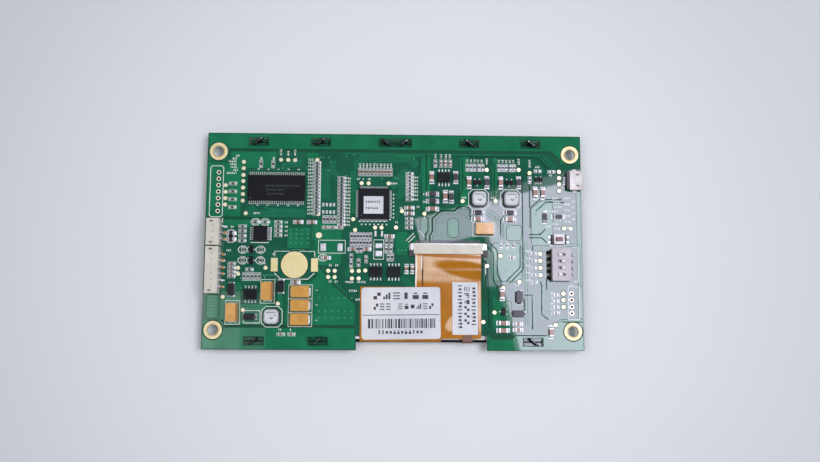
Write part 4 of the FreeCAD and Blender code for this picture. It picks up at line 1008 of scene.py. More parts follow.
@dataclass
class Board:
    """The board's faces: mask, copper that shows through it, and the tab slots and holes left open in it.

    Each layer of lines ends a little higher than the one below, so that no two faces lie in one plane.
    """

    copper_level: float = TOP + 0.004
    copper_height: float = 0.018
    hole_opening: float = 3.6
    land_opening: float = 0.8
    slot_opening: float = 1.55
    rim_pitch: float = 0.89
    # Width, rise over the copper areas and finish of each layer of lines.
    layers: dict[str, tuple[float, float, Finish]] = field(default_factory=lambda: {
        "track_rims": (0.13, 0.001, Finishes.MASK_GAP_SHADE), "copper_tracks_1": (0.26, 0.0025, Finishes.TRACK),
        "copper_tracks_2": (0.75, 0.004, Finishes.MASKED_COPPER),
        "area_rims": (0.2, 0.0055, Finishes.MASK_GAP_SHADE), "mask_gaps": (0.75, 0.007, Finishes.MASK_GAP_SHADE),
        "slot_rims": (0.3, 0.0085, Finishes.MASK_STEP_SHADE), "mask_steps": (0.38, 0.010, Finishes.MASK_STEP_SHADE)})

    def pours(self) -> list[list[Line]]:
        """List the copper areas, each an outline followed by the openings in it.

        Returns:
            The areas.
        """
        openings = [circle(x, y, self.hole_opening) for x, y in HOLES]
        open_to = self.slot_opening
        gaps = [rectangle(x - w / 2, x + w / 2, y - open_to, y + open_to) for x, y, w in SLOTS]
        lands = [circle(x, y, self.land_opening) for x, y in in_row(*LEFT_HEADER)]
        return [
            [[(-72.7, 30.8), (-65.0, 30.8), (-64.6, 35.9), (61.6, 35.9), (65.0, 32.5), (65.0, 30.8),
              (72.7, 30.8), (72.7, 41.7), (-72.7, 41.7), (-72.7, 30.8)], *openings[:2], *gaps[:5]],
            [[(-64.0, 34.6), (-64.4, 30.2), (-72.7, 30.2), (-72.7, 8.9), (-59.6, 8.9), (-59.6, 28.1),
              (-46.3, 28.1), (-46.3, 34.6), (-64.0, 34.6)], *lands],
            [rectangle(-66.2, -41.6, 4.9, 7.9)],
            [rectangle(-41.4, -32.4, -3.2, 5.0, 0.6)],
            [rectangle(0.2, 5.6, -5.6, 3.6, 1.0)],
            [[(-41.6, -32.6), (-41.6, -16.0), (-31.8, -16.0), (-29.6, -13.6), (-29.6, -10.6), (-27.2, -10.6),
              (-14.9, -24.2), (-14.9, -32.6), (-41.6, -32.6)]],
            [[(-66.2, -30.6), (-66.2, -16.4), (-58.6, -16.4), (-58.6, -24.6), (-51.6, -24.6), (-51.6, -14.8),
              (-46.0, -14.8), (-42.2, -22.4), (-41.9, -32.6), (-63.6, -32.6), (-66.2, -30.6)]],
            [rectangle(-31.2, -20.4, -9.8, 8.0, 0.5)],
            [[(-24.4, -16.6), (-13.9, -16.6), (-13.9, -23.6), (-15.4, -23.6), (-24.4, -16.6)]],
            [[(-72.7, -41.7), (-14.8, -41.7), (-14.8, -33.7), (-64.8, -33.7), (-65.0, -30.8), (-72.7, -30.8),
              (-72.7, -41.7)], openings[2], *gaps[5:7]],
            [[(36.0, -41.7), (72.7, -41.7), (72.7, -30.0), (64.0, -30.0), (58.4, -36.3), (46.4, -36.3),
              (45.2, -37.4), (38.2, -37.4), (36.0, -35.2), (36.0, -41.7)], openings[3], gaps[7]],
            [[(37.9, -33.4), (39.5, -35.2), (45.0, -35.2), (45.0, -23.2), (39.6, -22.6), (37.9, -20.4),
              (37.9, -33.4)]],
            [rectangle(37.4, 49.4, -15.4, -0.6, 1.2)],
            [rectangle(20.6, 24.8, 1.4, 8.8, 1.0)],
            [rectangle(43.4, 49.3, 0.4, 6.4, 0.8)],
            [[(53.2, -1.4), (53.2, 13.0), (57.0, 16.0), (61.6, 16.0), (61.6, -1.4), (53.2, -1.4)]],
            [rectangle(71.0, 72.7, -29.6, 20.2)],
            *[[rectangle(*sides)] for sides in (
                (9.9, 12.8, 2.4, 9.4, 0.8), (-71.4, -67.0, -30.2, -21.2, 0.8), (25.4, 29.0, 12.6, 34.0, 0.8),
                (10.6, 14.0, 11.4, 33.6, 0.8), (38.2, 40.2, 14.0, 33.4, 0.5), (-34.6, -29.6, 31.0, 34.4, 0.6),
                (-47.4, -44.6, -32.0, -14.6, 0.4))],
        ]

    def fine_tracks(self) -> list[Line]:
        """List the fine tracks that show through the mask.

        Returns:
            Their lines.
        """
        # The middle path of each bus, the number of its tracks and their pitch.
        return every_track(
            ([(-14.6, 28.0), (-14.6, 30.6), (-12.4, 32.4), (5.6, 32.4), (8.6, 29.6)], 5, 0.62),
            ([(-1.6, 21.2), (1.6, 24.4), (4.0, 26.6), (5.4, 28.0)], 6, 0.62),
            ([(1.0, 17.2), (3.0, 19.2), (3.0, 21.4), (5.4, 23.8)], 5, 0.6),
            ([(-16.2, 27.4), (-16.2, 10.4)], 4, 0.6),
            ([(-27.4, 28.6), (-27.4, 16.2)], 6, 0.7),
            ([(-24.2, 31.4), (-24.2, 27.0), (-22.6, 25.4)], 4, 0.6),
            ([(-56.4, 12.9), (-53.2, 10.0), (-34.4, 10.0)], 5, 0.56),
            ([(-50.2, 12.9), (-48.6, 11.8), (-35.0, 11.8)], 2, 0.56),
            ([(-43.6, 27.6), (-40.6, 30.2), (-36.2, 30.2)], 5, 0.6),
            ([(-58.4, 9.8), (-55.2, 9.8), (-53.0, 7.8)], 3, 0.6),
            ([(-20.6, 34.6), (54.4, 34.6), (60.4, 28.6)], 2, 0.7),
            ([(56.6, 34.9), (62.6, 28.9)], 3, 0.75),
            ([(-60.6, 29.4), (-60.6, 12.4)], 2, 0.7),
            ([(4.4, -6.4), (7.6, -3.2), (7.6, 1.4)], 3, 0.6),
            ([(2.9, -14.0), (7.2, -18.2)], 3, 0.8),
            ([(-13.6, -5.0), (-13.6, -7.6), (-18.2, -12.2), (-18.2, -14.0)], 3, 0.6),
            ([(-31.0, 0.0), (-31.0, 9.0)], 3, 0.6),
            ([(8.8, 25.0), (10.2, 26.4), (10.2, 33.2)], 3, 0.6),
            ([(29.6, -0.8), (29.6, 1.8), (32.0, 2.4)], 3, 0.6),
            ([(38.2, -18.6), (38.2, -5.4), (36.2, -2.6), (33.6, -2.2)], 3, 0.75),
            ([(42.0, -15.4), (50.2, -7.2), (50.2, 2.0)], 3, 0.75),
            ([(49.4, -16.2), (55.6, -16.2), (57.0, -17.6), (57.0, -27.0), (59.4, -29.4), (66.0, -29.4)],
             2, 0.7),
            ([(49.8, -20.4), (52.0, -20.4), (53.6, -22.0), (53.6, -33.4)], 2, 0.8),
            ([(55.2, 12.4), (58.6, 15.8), (63.8, 15.8)], 3, 0.75),
            ([(52.6, 5.2), (56.0, 5.2), (58.2, 7.4)], 2, 0.7),
            ([(17.0, 0.2), (17.0, 6.8)], 6, 0.95),
            ([(-46.4, -34.6), (-38.4, -34.6), (-35.4, -32.2)], 1, 0.6),
            ([(-66.4, 1.2), (-64.8, 1.2), (-64.8, 4.4)], 2, 0.6),
            ([(-58.6, -15.6), (-52.0, -15.6)], 2, 0.6))

    def broad_tracks(self) -> list[Line]:
        """List the broad tracks that show through the mask.

        Returns:
            Their lines.
        """
        return every_track(
            ([(13.6, -0.6), (13.6, 2.2), (14.6, 3.6), (14.6, 8.8), (18.0, 11.9), (23.2, 11.9), (25.4, 14.0)],
             2, 1.5),
            ([(36.0, 11.4), (38.4, 10.2), (42.2, 6.4), (42.2, 1.4)], 2, 1.4),
            ([(50.9, -32.0), (50.9, 0.0)], 1, 1.3),
            ([(66.8, -1.2), (71.6, -1.2), (71.6, -18.0)], 1, 1.0),
            ([(29.6, 13.6), (29.6, 11.0), (27.4, 9.0)], 2, 1.2),
            ([(-32.6, -5.0), (-31.2, -3.6), (-31.2, -0.4)], 1, 1.0),
            ([(0.0, 33.6), (12.0, 33.6)], 1, 1.0))

    def gaps(self) -> list[Line]:
        """List the dark lines of painted shade where copper areas keep apart from each other.

        Returns:
            The lines.
        """
        return [
            [(-64.4, 35.2), (61.4, 35.2), (65.0, 31.7)], [(-64.6, -33.1), (-14.8, -33.1)],
            [(-66.4, 8.4), (-30.4, 8.4)], [(36.0, -34.4), (38.4, -36.6), (46.2, -36.6)],
            [(-26.6, -14.2), (-14.4, -24.8)], [(-29.0, -10.0), (-26.0, -13.4)],
            # These two lines beside the flex are the flex's painted shadow.
            [(34.2, -6.4), (34.2, -20.6), (35.4, -23.2)], [(35.3, -7.5), (35.3, -19.8), (36.2, -23.0)],
            [(34.6, -33.7), (37.9, -37.4), (45.6, -37.4)], [(36.8, -33.4), (39.5, -35.8), (45.6, -35.8)],
        ]

    def steps(self) -> list[Line]:
        """List the thin dark lines of painted shade where the mask steps down at the rim of a copper area.

        Returns:
            The lines.
        """
        return [
            [(50.1, -20.7), (53.1, -20.7), (53.1, -33.9)], [(50.0, -22.0), (50.0, -29.2)],
            [(56.3, -15.5), (56.9, -17.1), (56.7, -28.1), (59.3, -30.0)],
            [(43.0, -15.6), (48.6, -10.0), (48.7, -1.6)], [(44.4, -16.2), (49.8, -10.8), (49.8, 2.4)],
            [(37.0, -0.6), (39.8, -3.4), (39.7, -12.8), (41.4, -15.6)],
            [(35.4, -1.6), (38.2, -4.4), (38.2, -15.4), (40.2, -18.2)],
            [(33.7, -6.8), (36.0, -9.0), (36.4, -33.1)],
            [(52.7, 5.4), (52.8, 13.3), (56.7, 16.7), (65.4, 16.7)],
            [(55.0, 12.1), (59.0, 15.6), (66.2, 15.6)], [(54.7, 33.6), (59.7, 28.7)],
            [(57.0, 34.2), (62.0, 29.0)], [(55.8, 33.6), (60.8, 28.8)], [(24.0, 33.4), (54.7, 33.4)],
            [(26.4, 32.6), (26.4, 20.0), (24.6, 17.4)], [(38.9, 31.4), (38.9, 15.2)],
            [(49.8, 26.0), (49.8, 2.4)], [(52.6, 26.0), (52.6, 13.5)],
            [(23.2, 12.0), (26.6, 13.8), (29.0, 13.1), (29.6, 8.5)], [(53.8, 24.0), (53.8, 21.4)],
            [(52.2, 2.8), (56.6, 2.8), (58.6, 5.0)], [(52.2, 1.6), (57.2, 1.6), (59.2, -0.4)],
            [(58.8, -14.6), (58.8, -18.6)], [(46.4, -36.2), (58.2, -36.2)], [(64.2, -30.9), (72.4, -30.9)],
            [(12.2, 34.0), (12.2, 13.4), (10.4, 11.2)], [(9.6, 33.2), (9.6, 26.6), (8.4, 25.4)],
            [(53.6, -1.8), (53.6, -3.6)], [(31.4, 2.0), (34.0, 2.6), (38.6, 7.2)],
            [(41.2, 2.6), (41.2, 8.4), (44.0, 12.0)], [(34.6, 17.8), (26.8, 25.2)],
            [(13.6, -0.6), (13.6, 2.2), (14.6, 3.6), (14.6, 8.8), (18.0, 11.9), (23.2, 11.9), (25.4, 14.0)],
            [(11.9, -0.2), (12.0, 2.8), (12.9, 4.2), (12.9, 9.4)],
        ]

    def vias(self) -> list[Point]:
        """List the tented holes that show as small dots.

        Returns:
            Their places.
        """
        made = [(x, y) for x in (-40.1, -37.9, -35.7, -33.5) for y in (-1.2, 0.6, 2.4, 4.0)]
        made += [(-28.7 + 2.5 * i, y) for y in (-22.2, -27.2, -29.8) for i in range(6)]
        made += [(-70.9 + 1.0 * i, -29.2 + 1.2 * j) for i in range(4) for j in range(7)]
        made += [(-50.0 + 1.0 * i, -13.6) for i in range(5)] + [(1.5, -3.6), (2.9, -3.6), (4.4, -3.6)]
        made += [(-39.0 + 1.0 * i, 0.2 - 4.0) for i in range(5)]
        rng = random.Random(5)
        # How many lie scattered between which limits in X and in Y.
        for count, across, along in ((10, (-44, -24), (26.8, 33)), (9, (-26, 8), (23, 34)),
                                     (30, (-62, -44), (-33, -14)), (46, (24, 66), (-34, 20))):
            made += [(rng.uniform(*across), rng.uniform(*along)) for _ in range(count)]
        return made

    def areas(self) -> None:
        """Raise the copper areas, with their openings left open."""
        curve = bpy.data.curves.new("copper_areas", "CURVE")
        curve.dimensions = "2D"
        curve.fill_mode = "BOTH"
        curve.extrude = self.copper_height / 2 * MM
        for outline in (line for area in self.pours() for line in area):
            spline = curve.splines.new("POLY")
            spline.points.add(len(outline) - 2)
            for point, (x, y) in zip(spline.points, outline[:-1]):
                point.co = (x * MM, y * MM, 0, 1)
            spline.use_cyclic_u = True
        areas = settled(new_object("copper_areas_curve", curve), "copper_areas")
        middle = (self.copper_level + self.copper_height / 2) * MM
        areas.data.transform(Matrix.Translation((0, 0, middle)))
        areas.data.materials.clear()
        areas.data.materials.append(Finishes.MASKED_COPPER.material())
        dressed(areas)

    def lay(self, name: str, lines: Iterable[Line]) -> None:
        """Lay one layer of lines, as its row in the table of layers says."""
        width, rise, finish = self.layers[name]
        strips(name, lines, width, self.copper_level, self.copper_height + rise, finish)

    def slot_work(self) -> None:
        """Rim the tab slots and line them on both sides of the tab with painted shade."""
        edge_x, edge_y = 0.16, 1.6
        self.lay("slot_rims", [rectangle(x - w / 2 - edge_x, x + w / 2 + edge_x, y - edge_y, y + edge_y)
                               for x, y, w in SLOTS])
        # A glossy green sheet of painted shade in each slot, on both sides of the tab.
        level, aside, width = 4.42, 0.84, 1.16
        shade_sheets = [Stamp(x, y + side * aside, level, (w - 0.04, width, 0.06)) for x, y, w in SLOTS
                 for side in (-1, 1)]
        stamps("slot_tapes", Form.BLOCK, shade_sheets, Finishes.SLOT_SHADE_SHEET)

    def build(self) -> None:
        """Lay copper areas, tracks, vias and the dark lines of painted shade at gaps, rims and steps."""
        self.areas()
        broad = self.broad_tracks()
        # Rims of painted shade round the copper areas and along the broad tracks.
        self.lay("area_rims", [line for area in self.pours() for line in area])
        self.lay("track_rims", [rim for line in broad for rim in bus(line, 2, self.rim_pitch)])
        self.lay("copper_tracks_1", self.fine_tracks())
        self.lay("copper_tracks_2", broad)
        self.lay("mask_gaps", self.gaps())
        self.lay("mask_steps", self.steps())
        self.slot_work()
        dots = [Stamp(x, y, self.copper_level, (0.55, 0.55, 0.029)) for x, y in self.vias()]
        stamps("tented_vias", Form.DISC, dots, Finishes.VIA)


class Sign(Enum):
    """Simple shapes that stand for printed signs: each a row of strokes as middle, width and height."""

    BARS = ((0.5, -0.42, 0.9, 0.16), (0.5, 0.0, 0.9, 0.16), (0.5, 0.42, 0.9, 0.16))
    CHECK = ((0.26, -0.26, 0.46, 0.48), (0.74, 0.26, 0.46, 0.48))
    STEPS = ((0.16, -0.3, 0.24, 0.4), (0.5, -0.15, 0.24, 0.7), (0.84, 0.0, 0.24, 1.0))
    BLOCK = ((0.5, -0.2, 0.8, 0.6), (0.5, 0.36, 0.5, 0.18))
    SQUARE = ((0.5, -0.05, 0.74, 0.66),)
    POST = ((0.5, 0.0, 0.42, 0.96),)

    @staticmethod
    def plain() -> tuple["Sign", ...]:
        """Name the shapes that stay plain where a row is small."""
        return Sign.BLOCK, Sign.SQUARE, Sign.POST

    @staticmethod
    def row(place: tuple[float, float, float], count: int, size: tuple[float, float], height: float,
            turn: float, rng: random.Random, kinds: Sequence["Sign"]) -> list[Stamp]:
        """Lay a row of signs that has the tone of printing and says nothing.

        Args:
            place: start of the row, at its middle height.
            count: how many signs.
            size: width and height of a sign.
            height: thickness of the ink.
            turn: direction of the row in degrees.
            rng: source of the variation.
            kinds: the signs to choose from.

        Returns:
            The strokes.
        """
        c, s = math.cos(math.radians(turn)), math.sin(math.radians(turn))
        x, y, z = place
        spacing = 1.25
        strokes = []
        for k in range(count):
            for u, v, w, h in rng.choice(kinds).value:
                along, up = (k * spacing + u) * size[0], v * size[1]
                strokes.append(Stamp(x + along * c - up * s, y + along * s + up * c, z,
                                     (w * size[0], h * size[1], height), turn))
        return strokes


@dataclass
class Silkscreen:
    """White printing on the board: outlines and short marks that stand for the printed labels."""

    frame: dict[str, Any]
    level: float = TOP + 0.022
    height: float = 0.012
    seed: int = 11

    def outlines(self) -> list[Line]:
        """List the outlines drawn round parts.

        Returns:
            The lines.
        """
        lines: list[Line] = [
            rectangle(-71.6, -66.6, 8.8, 28.8, 0.7), rectangle(67.1, 71.4, -30.0, -17.4),
            [(-46.0, -6.4), (-46.0, -4.4), (-30.7, -4.4), (-30.7, -6.4)],
            [(-46.0, -12.8), (-43.6, -15.1), (-33.2, -15.1), (-30.7, -12.8)],
            rectangle(-29.3, -19.0, -5.0, 0.0), rectangle(-8.0, -4.2, -7.2, 0.3),
            [(-66.4, 8.4), (-66.4, 6.6)], [(-55.4, -1.1), (-48.4, -1.1)], [(4.4, 0.0), (7.5, 3.1)],
            [(5.4, -0.6), (8.0, 2.0)], [(9.4, 4.2), (11.6, 1.6)], [(35.2, -9.8), (35.2, -12.8)],
            rectangle(-57.3, -51.0, -31.9, -27.2, 0.4),
            [(69.2, -2.2), (71.2, -2.2), (71.2, -15.4), (69.6, -15.4)],
        ]
        for box in solids(self.frame, "inductor_bases"):
            c, half = box.centre, 3.9
            lines.append(rectangle(c.x - half, c.x + half, c.y - half, c.y + half, 1.5))
        lines += [box.outline(1.0, 0.55) for box in solids(self.frame, "tantalum_bodies")]
        for x, y in ((-53.7, 6.9), (-50.0, 6.9), (-63.0, 2.5), (-63.0, 0.1), (-58.3, -3.9), (-58.3, -8.0),
                     (-51.5, -3.9), (-51.5, -8.0), (-27.5, -6.8)):
            lines.append(rectangle(x - 1.7, x + 1.7, y - 1.2, y + 1.2, 0.8))
        return lines

    def marks(self) -> list[tuple[float, float, int, float]]:
        """List the short marks: first place, number of signs and turn.

        Returns:
            The marks.
        """
        # Place, number of signs and turn; for a row of marks also the step in X and Y and how many there are.
        left = ((-33.9, 10.4, 3, 0, 0, 1.333, 16), (-19.1, 6.1, 3, 0, 0, 1.31, 15), (7.2, 16.3, 3),
                (7.2, 18.0, 3, 0, 0, 1.4, 6), (-13.7, 28.6, 3, 90, 1.345, 0, 10))
        ragged = ((-61.9, 2), (-63.3, 3), (-64.9, 5), (-64.2, 4), (-64.0, 4), (-62.9, 3), (-65.4, 6))
        right = (
            (69.2, 16.0, 2, 0, 0, -2.3, 4), (69.3, -4.9, 1, 0, 0, -2.54, 4), (-14.8, 24.2, 2),
            (-12.6, 24.2, 1), (-10.6, 24.2, 2), (-1.6, 22.6, 4), (-44.6, 33.2, 4, 90), (-41.8, 33.2, 3, 90),
            (-39.1, 33.2, 4, 90), (-33.8, 31.6, 3), (-52.2, 31.4, 2, 90), (-47.4, 31.4, 2, 90),
            (-54.6, 10.4, 4), (-25.2, -9.6, 2, 0, 0, -6.3, 2), (-22.8, -9.6, 2, 0, 0, -6.3, 2),
            (-18.8, -16.0, 5), (-14.2, -16.0, 5), (-17.4, -19.4, 5), (-14.8, -22.7, 3),
            (-42.4, 6.9, 2, 0, 0, -1.7, 4), (15.8, 32.6, 3, 90), (18.0, 32.6, 3, 90), (19.8, 32.6, 3, 90),
            (21.4, 32.6, 3, 90), (11.0, 18.4, 1), (10.8, 15.4, 2), (11.2, 9.2, 1), (0.2, 7.2, 2),
            (28.3, 31.2, 2, 90, 1.4, 0, 5), (40.75, 31.2, 2, 90, 1.4, 0, 5), (35.9, 30.4, 4, 90),
            (48.5, 30.4, 4, 90), (52.8, 29.4, 5, 90), (26.0, 17.2, 3), (37.6, 17.2, 3), (55.0, 29.6, 3),
            (60.4, 26.4, 2), (50.8, -3.6, 3, 0, 0, -2.8, 5), (60.2, -19.6, 2, 0, 0, -2.1, 5),
            (66.2, 17.2, 4, 0, 0, -2.3, 6), (-61.4, -12.4, 3), (-50.6, -9.0, 2), (-46.8, -5.4, 1),
            (-40.0, -16.2, 4), (-29.6, -19.6, 1, 90), (-29.6, -25.2, 1, 90), (-29.6, -31.0, 1, 90),
            (-44.0, -34.3, 2), (-39.6, -34.3, 1), (-65.5, 5.0, 2), (-63.2, 5.0, 2), (-64.6, -4.1, 3),
            (60.4, -1.3, 8), (67.6, -16.8, 3), (46.4, -16.9, 3), (-53.2, 27.4, 1, 90, 3.9, 0, 5),
            (-53.2, 13.2, 1, 90, 3.9, 0, 5), (1.9, 12.9, 2), (8.4, 13.4, 2), (58.6, 12.2, 4), (58.9, 6.1, 3))

        def spread(rows: Iterable[tuple[float, ...]]) -> list[tuple[float, float, int, float]]:
            """Repeat each row's mark at its step, one mark with no turn where nothing else is said."""
            full = [row + (0, 0, 1, 0, 0, 0, 1)[len(row):] for row in rows]
            return [(x + dx * i, y + dy * i, signs, turn) for x, y, signs, turn, dx, dy, count in full
                    for i in range(count)]

        made = spread(left)
        made += [(x, 33.0 - 1.15 * i, count, 0) for i, (x, count) in enumerate(ragged)]
        made += [(61.4 + 0.5 * (i % 3), 17.2 - 1.7 * i, 4, 0) for i in range(8)]
        return made + spread(right)

    def signs(self) -> list[Stamp]:
        """Turn the marks into rows of simple shapes.

        Returns:
            The strokes.
        """
        rng = random.Random(self.seed)
        strokes = []
        for x, y, count, turn in self.marks():
            strokes += Sign.row((x, y, self.level), count, (0.52, 0.9), self.height, turn, rng, Sign.plain())
        return strokes

    def build(self) -> None:
        """Print outlines and marks."""
        small = [box.outline(0.72, 0.24) for box in chips(self.frame) if box.small]
        strips("silk_outlines", self.outlines(), 0.3, self.level, self.height, Finishes.INK)
        strips("silk_chip_outlines", small, 0.16, self.level, self.height, Finishes.INK)
        stamps("silk_signs", Form.BLOCK, self.signs(), Finishes.INK)
        dots = [(-1.8 + 1.3 * (i % 2), 8.3 + 0.75 * i) for i in range(15)]
        dots += [(-13.6 + 0.8 * i, 7.5 - 1.2 * (i % 2)) for i in range(14)]
        size = (0.62, 0.62, self.height)
        stamps("silk_dots", Form.DISC, [Stamp(x, y, self.level, size) for x, y in dots], Finishes.INK)


@dataclass
class Lands:
    """Bare plated copper: test pads, rings round holes and pads of parts that are not fitted."""

    level: float = FOOT
    height: float = 0.035
    test_pads: tuple[Point, ...] = (
        *((-58.9, y) for y in (30.5, 28.0, 25.3, 22.9, 20.3, 17.8, 15.2)), (-57.6, 10.3),
        *((-65.6, y) for y in (21.2, 18.6, 16.1, 13.6)), (-44.5, 31.5), (-41.7, 31.5), (-39.0, 31.4),
        (-30.4, 31.6), (-29.6, 10.2), (-13.0, 22.5), (-10.3, 22.5), (-2.5, 22.5), (-16.1, 8.3), (-15.3, 4.1),
        (-7.6, 5.1), (-5.1, 5.1), (0.5, 5.2), (2.8, 11.6), (11.5, 10.7), (26.4, 15.8), (39.3, 16.0),
        (35.9, 28.3), (48.5, 28.4), (52.8, 27.2), *((64.4, y) for y in (27.8, 25.3, 22.8, 20.2)), (66.0, 5.3),
        (68.6, 5.3), *((56.5, y) for y in (-4.6, -7.4, -10.1, -13.0)), (41.0, -5.6), (48.3, -15.7),
        (42.0, -18.0), *((65.2, y) for y in (-20.0, -22.5, -25.2)), (62.0, -32.0), (38.5, -27.4),
        (34.2, -31.1), (35.8, -9.5), *((x, y) for y in (-11.8, -14.2) for x in (-25.4, -22.9)),
        (-16.3, -11.8), (-13.7, -11.8), (-11.2, -11.6), (-16.3, -14.7), (-13.7, -14.7), (-59.9, -10.9),
        (-59.8, -13.2), (-49.4, -10.8), (-65.4, -22.0), (-57.6, -27.0), (-44.4, -24.5))
    joints: tuple[Point, ...] = (
        (-65.6, -5.8), (-65.6, -8.0), (-65.6, -10.8), (-65.6, -13.2), (-65.6, -18.2), (-65.4, 2.6),
        (-65.4, 0.1))

    def rounds(self, name: str, form: Form, places: Iterable[Point], width: float, finish: Finish,
               height: float = 0.0, drop: float = 0.0) -> None:
        """Set one round form of one width on many places.

        Args:
            name: the piece's name.
            form: the form.
            places: where it goes.
            width: its outer diameter.
            finish: its finish.
            height: its height, the plating's own where none is given.
            drop: how far below the plating it starts.
        """
        size = (width, width, height or self.height)
        stamps(name, form, [Stamp(x, y, self.level - drop, size) for x, y in places], finish)

    def pads(self) -> None:
        """Plate the test pads, and ring them with painted shade where the mask sinks round them."""
        width, large, clearance, sink, depth = 1.6, 2.4, 0.55, 0.006, 0.02
        pads = [Stamp(x, y, self.level, (width, width, self.height)) for x, y in self.test_pads]
        pads.append(Stamp(-29.2, 1.9, self.level, (large, large, self.height)))
        stamps("test_pads", Form.DISC, pads, Finishes.GOLD)
        shade_rings = [Stamp(p.x, p.y, self.level - sink, (p.size[0] + clearance, p.size[1] + clearance, depth))
                for p in pads]
        stamps("pad_clearances", Form.DISC, shade_rings, Finishes.MASK_STEP_SHADE)

    def build(self) -> None:
        """Plate the test pads, rings and bare pads."""
        self.pads()
        self.rounds("hole_rings", Form.RING, HOLES, 7.0, Finishes.RING_GOLD)
        # An orange hoop of painted shade on the inner bevel of each hole ring.
        self.rounds("ring_wear", Form.HOOP, HOLES, 4.75, Finishes.ORANGE_GOLD_AND_BEVEL_SHADE, self.height + 0.006)
        # Dark rings of painted shade round the hole rings and the cell pad.
        self.rounds("ring_clearances", Form.HOOP, HOLES, 7.75, Finishes.MASK_STEP_SHADE, drop=0.004)
        self.rounds("cell_pad_clearance", Form.HOOP, [CELL_PAD], 11.0, Finishes.MASK_STEP_SHADE, drop=0.004)
        header = in_row(*LEFT_HEADER) + in_row(*RIGHT_HEADER)
        self.rounds("header_lands", Form.RING, header, 1.75, Finishes.PALE_RING)
        # Black discs of painted shade deep in the header holes.
        hole_shade_discs = [Stamp(x, y, TOP - 0.3, (1.14, 1.14, 0.1)) for x, y in header]
        stamps("header_bores", Form.DISC, hole_shade_discs, Finishes.SHADE)
        bare = [(-27.5, -2.7, 2.2, 3.0), (-21.0, -2.7, 2.0, 3.0), (-6.1, -2.0, 2.6, 1.9),
                (-6.1, -5.0, 2.6, 2.2), (-7.4, 2.7, 0.8, 2.2), (-4.9, 2.7, 0.8, 2.2),
                (-13.9, -37.2, 1.6, 0.8)]
        bare += [(-27.7 + 1.37 * i, y, 0.85, 1.4) for i in range(4) for y in (13.9, 11.0)]
        stamps("bare_pads", Form.LAND, [Stamp(x, y, self.level, (w, h, 0.09)) for x, y, w, h in bare],
               Finishes.SOLDER)
        domes = [Stamp(x, y, self.level, (1.5, 1.3, 0.35)) for x, y in self.joints]
        stamps("socket_joints", Form.DOME, domes, Finishes.ORANGE_GOLD_AND_BEVEL_SHADE)


@dataclass
class SolderWork:
    """Metal ends and solder of the fitted parts, found from the solids themselves."""

    frame: dict[str, Any]
    land_level: float = TOP + 0.008
    land_height: float = 0.045
    caps: list[Stamp] = field(default_factory=list)
    fillets: list[Stamp] = field(default_factory=list)
    lands: list[Stamp] = field(default_factory=list)

    def end(self, box: Box, along_y: bool, side: int, length: float) -> Stamp:
        """Place solder at one end of a chip or a terminal.

        Args:
            box: the solid.
            along_y: whether the end faces along Y.
            side: one for the end at the higher coordinate, minus one for the other.
            length: the size of the solder's form away from the body.

        Returns:
            The stamp.
        """
        x = box.centre.x if along_y else box.centre.x + side * box.size.x / 2
        y = box.centre.y + side * box.size.y / 2 if along_y else box.centre.y
        width = box.size.x if along_y else box.size.y
        turn = (90 if along_y else 0) + (0 if side > 0 else 180)
        return Stamp(x, y, FOOT, (length, width, box.size.z), turn)

    def small_chips(self) -> None:
        """Give each of the smallest chips two metal ends with solder fillets."""
        for box in chips(self.frame):
            if box.small:
                self.caps += [self.end(box, box.upright, side, 1.0) for side in (-1, 1)]

    def large_chips(self) -> None:
        """Run solder up the outer face of each separate metal end, and lay its land."""
        bodies = chips(self.frame)
        for box in solids(self.frame, "chip_terminals"):
            owner = min(bodies, key=lambda b: (b.centre - box.centre).length)
            away = box.centre - owner.centre
            along_y = abs(away.y) > abs(away.x)
            side = 1 if (away.y if along_y else away.x) > 0 else -1
            fillet = self.end(box, along_y, side, 1.1)
            self.fillets.append(fillet)
            shift, length, width = side * 0.25, 1.5, fillet.size[1] + 0.35
            if along_y:
                self.land(fillet.x, fillet.y + shift, width, length)
            else:
                self.land(fillet.x + shift, fillet.y, length, width)

    def land(self, x: float, y: float, width: float, depth: float) -> None:
        """Lay one tinned land."""
        self.lands.append(Stamp(x, y, self.land_level, (width, depth, self.land_height)))

    def leads(self) -> None:
        """Lay a tinned land under every lead's foot."""
        for node in ("memory_leads", "controller_leads", "transceiver_leads", "small_chip_leads",
                     "transistor_leads", "diode_leads", "tantalum_terminals", "push_switch_leads"):
            ends, sides = (0.9, 0.35) if node in ("tantalum_terminals", "diode_leads") else (0.55, 0.12)
            for box in solids(self.frame, node):
                grow = (sides, ends) if box.upright else (ends, sides)
                self.land(box.centre.x, box.centre.y, box.size.x + grow[0], box.size.y + grow[1])

    def build(self) -> None:
        """Make caps, fillets and lands."""
        self.small_chips()
        self.large_chips()
        self.leads()
        for name, form, places in (("chip_end_caps", Form.END_CAP, self.caps),
                                   ("chip_fillets", Form.FILLET, self.fillets),
                                   ("lead_lands", Form.LAND, self.lands)):
            stamps(name, form, places, Finishes.SOLDER)


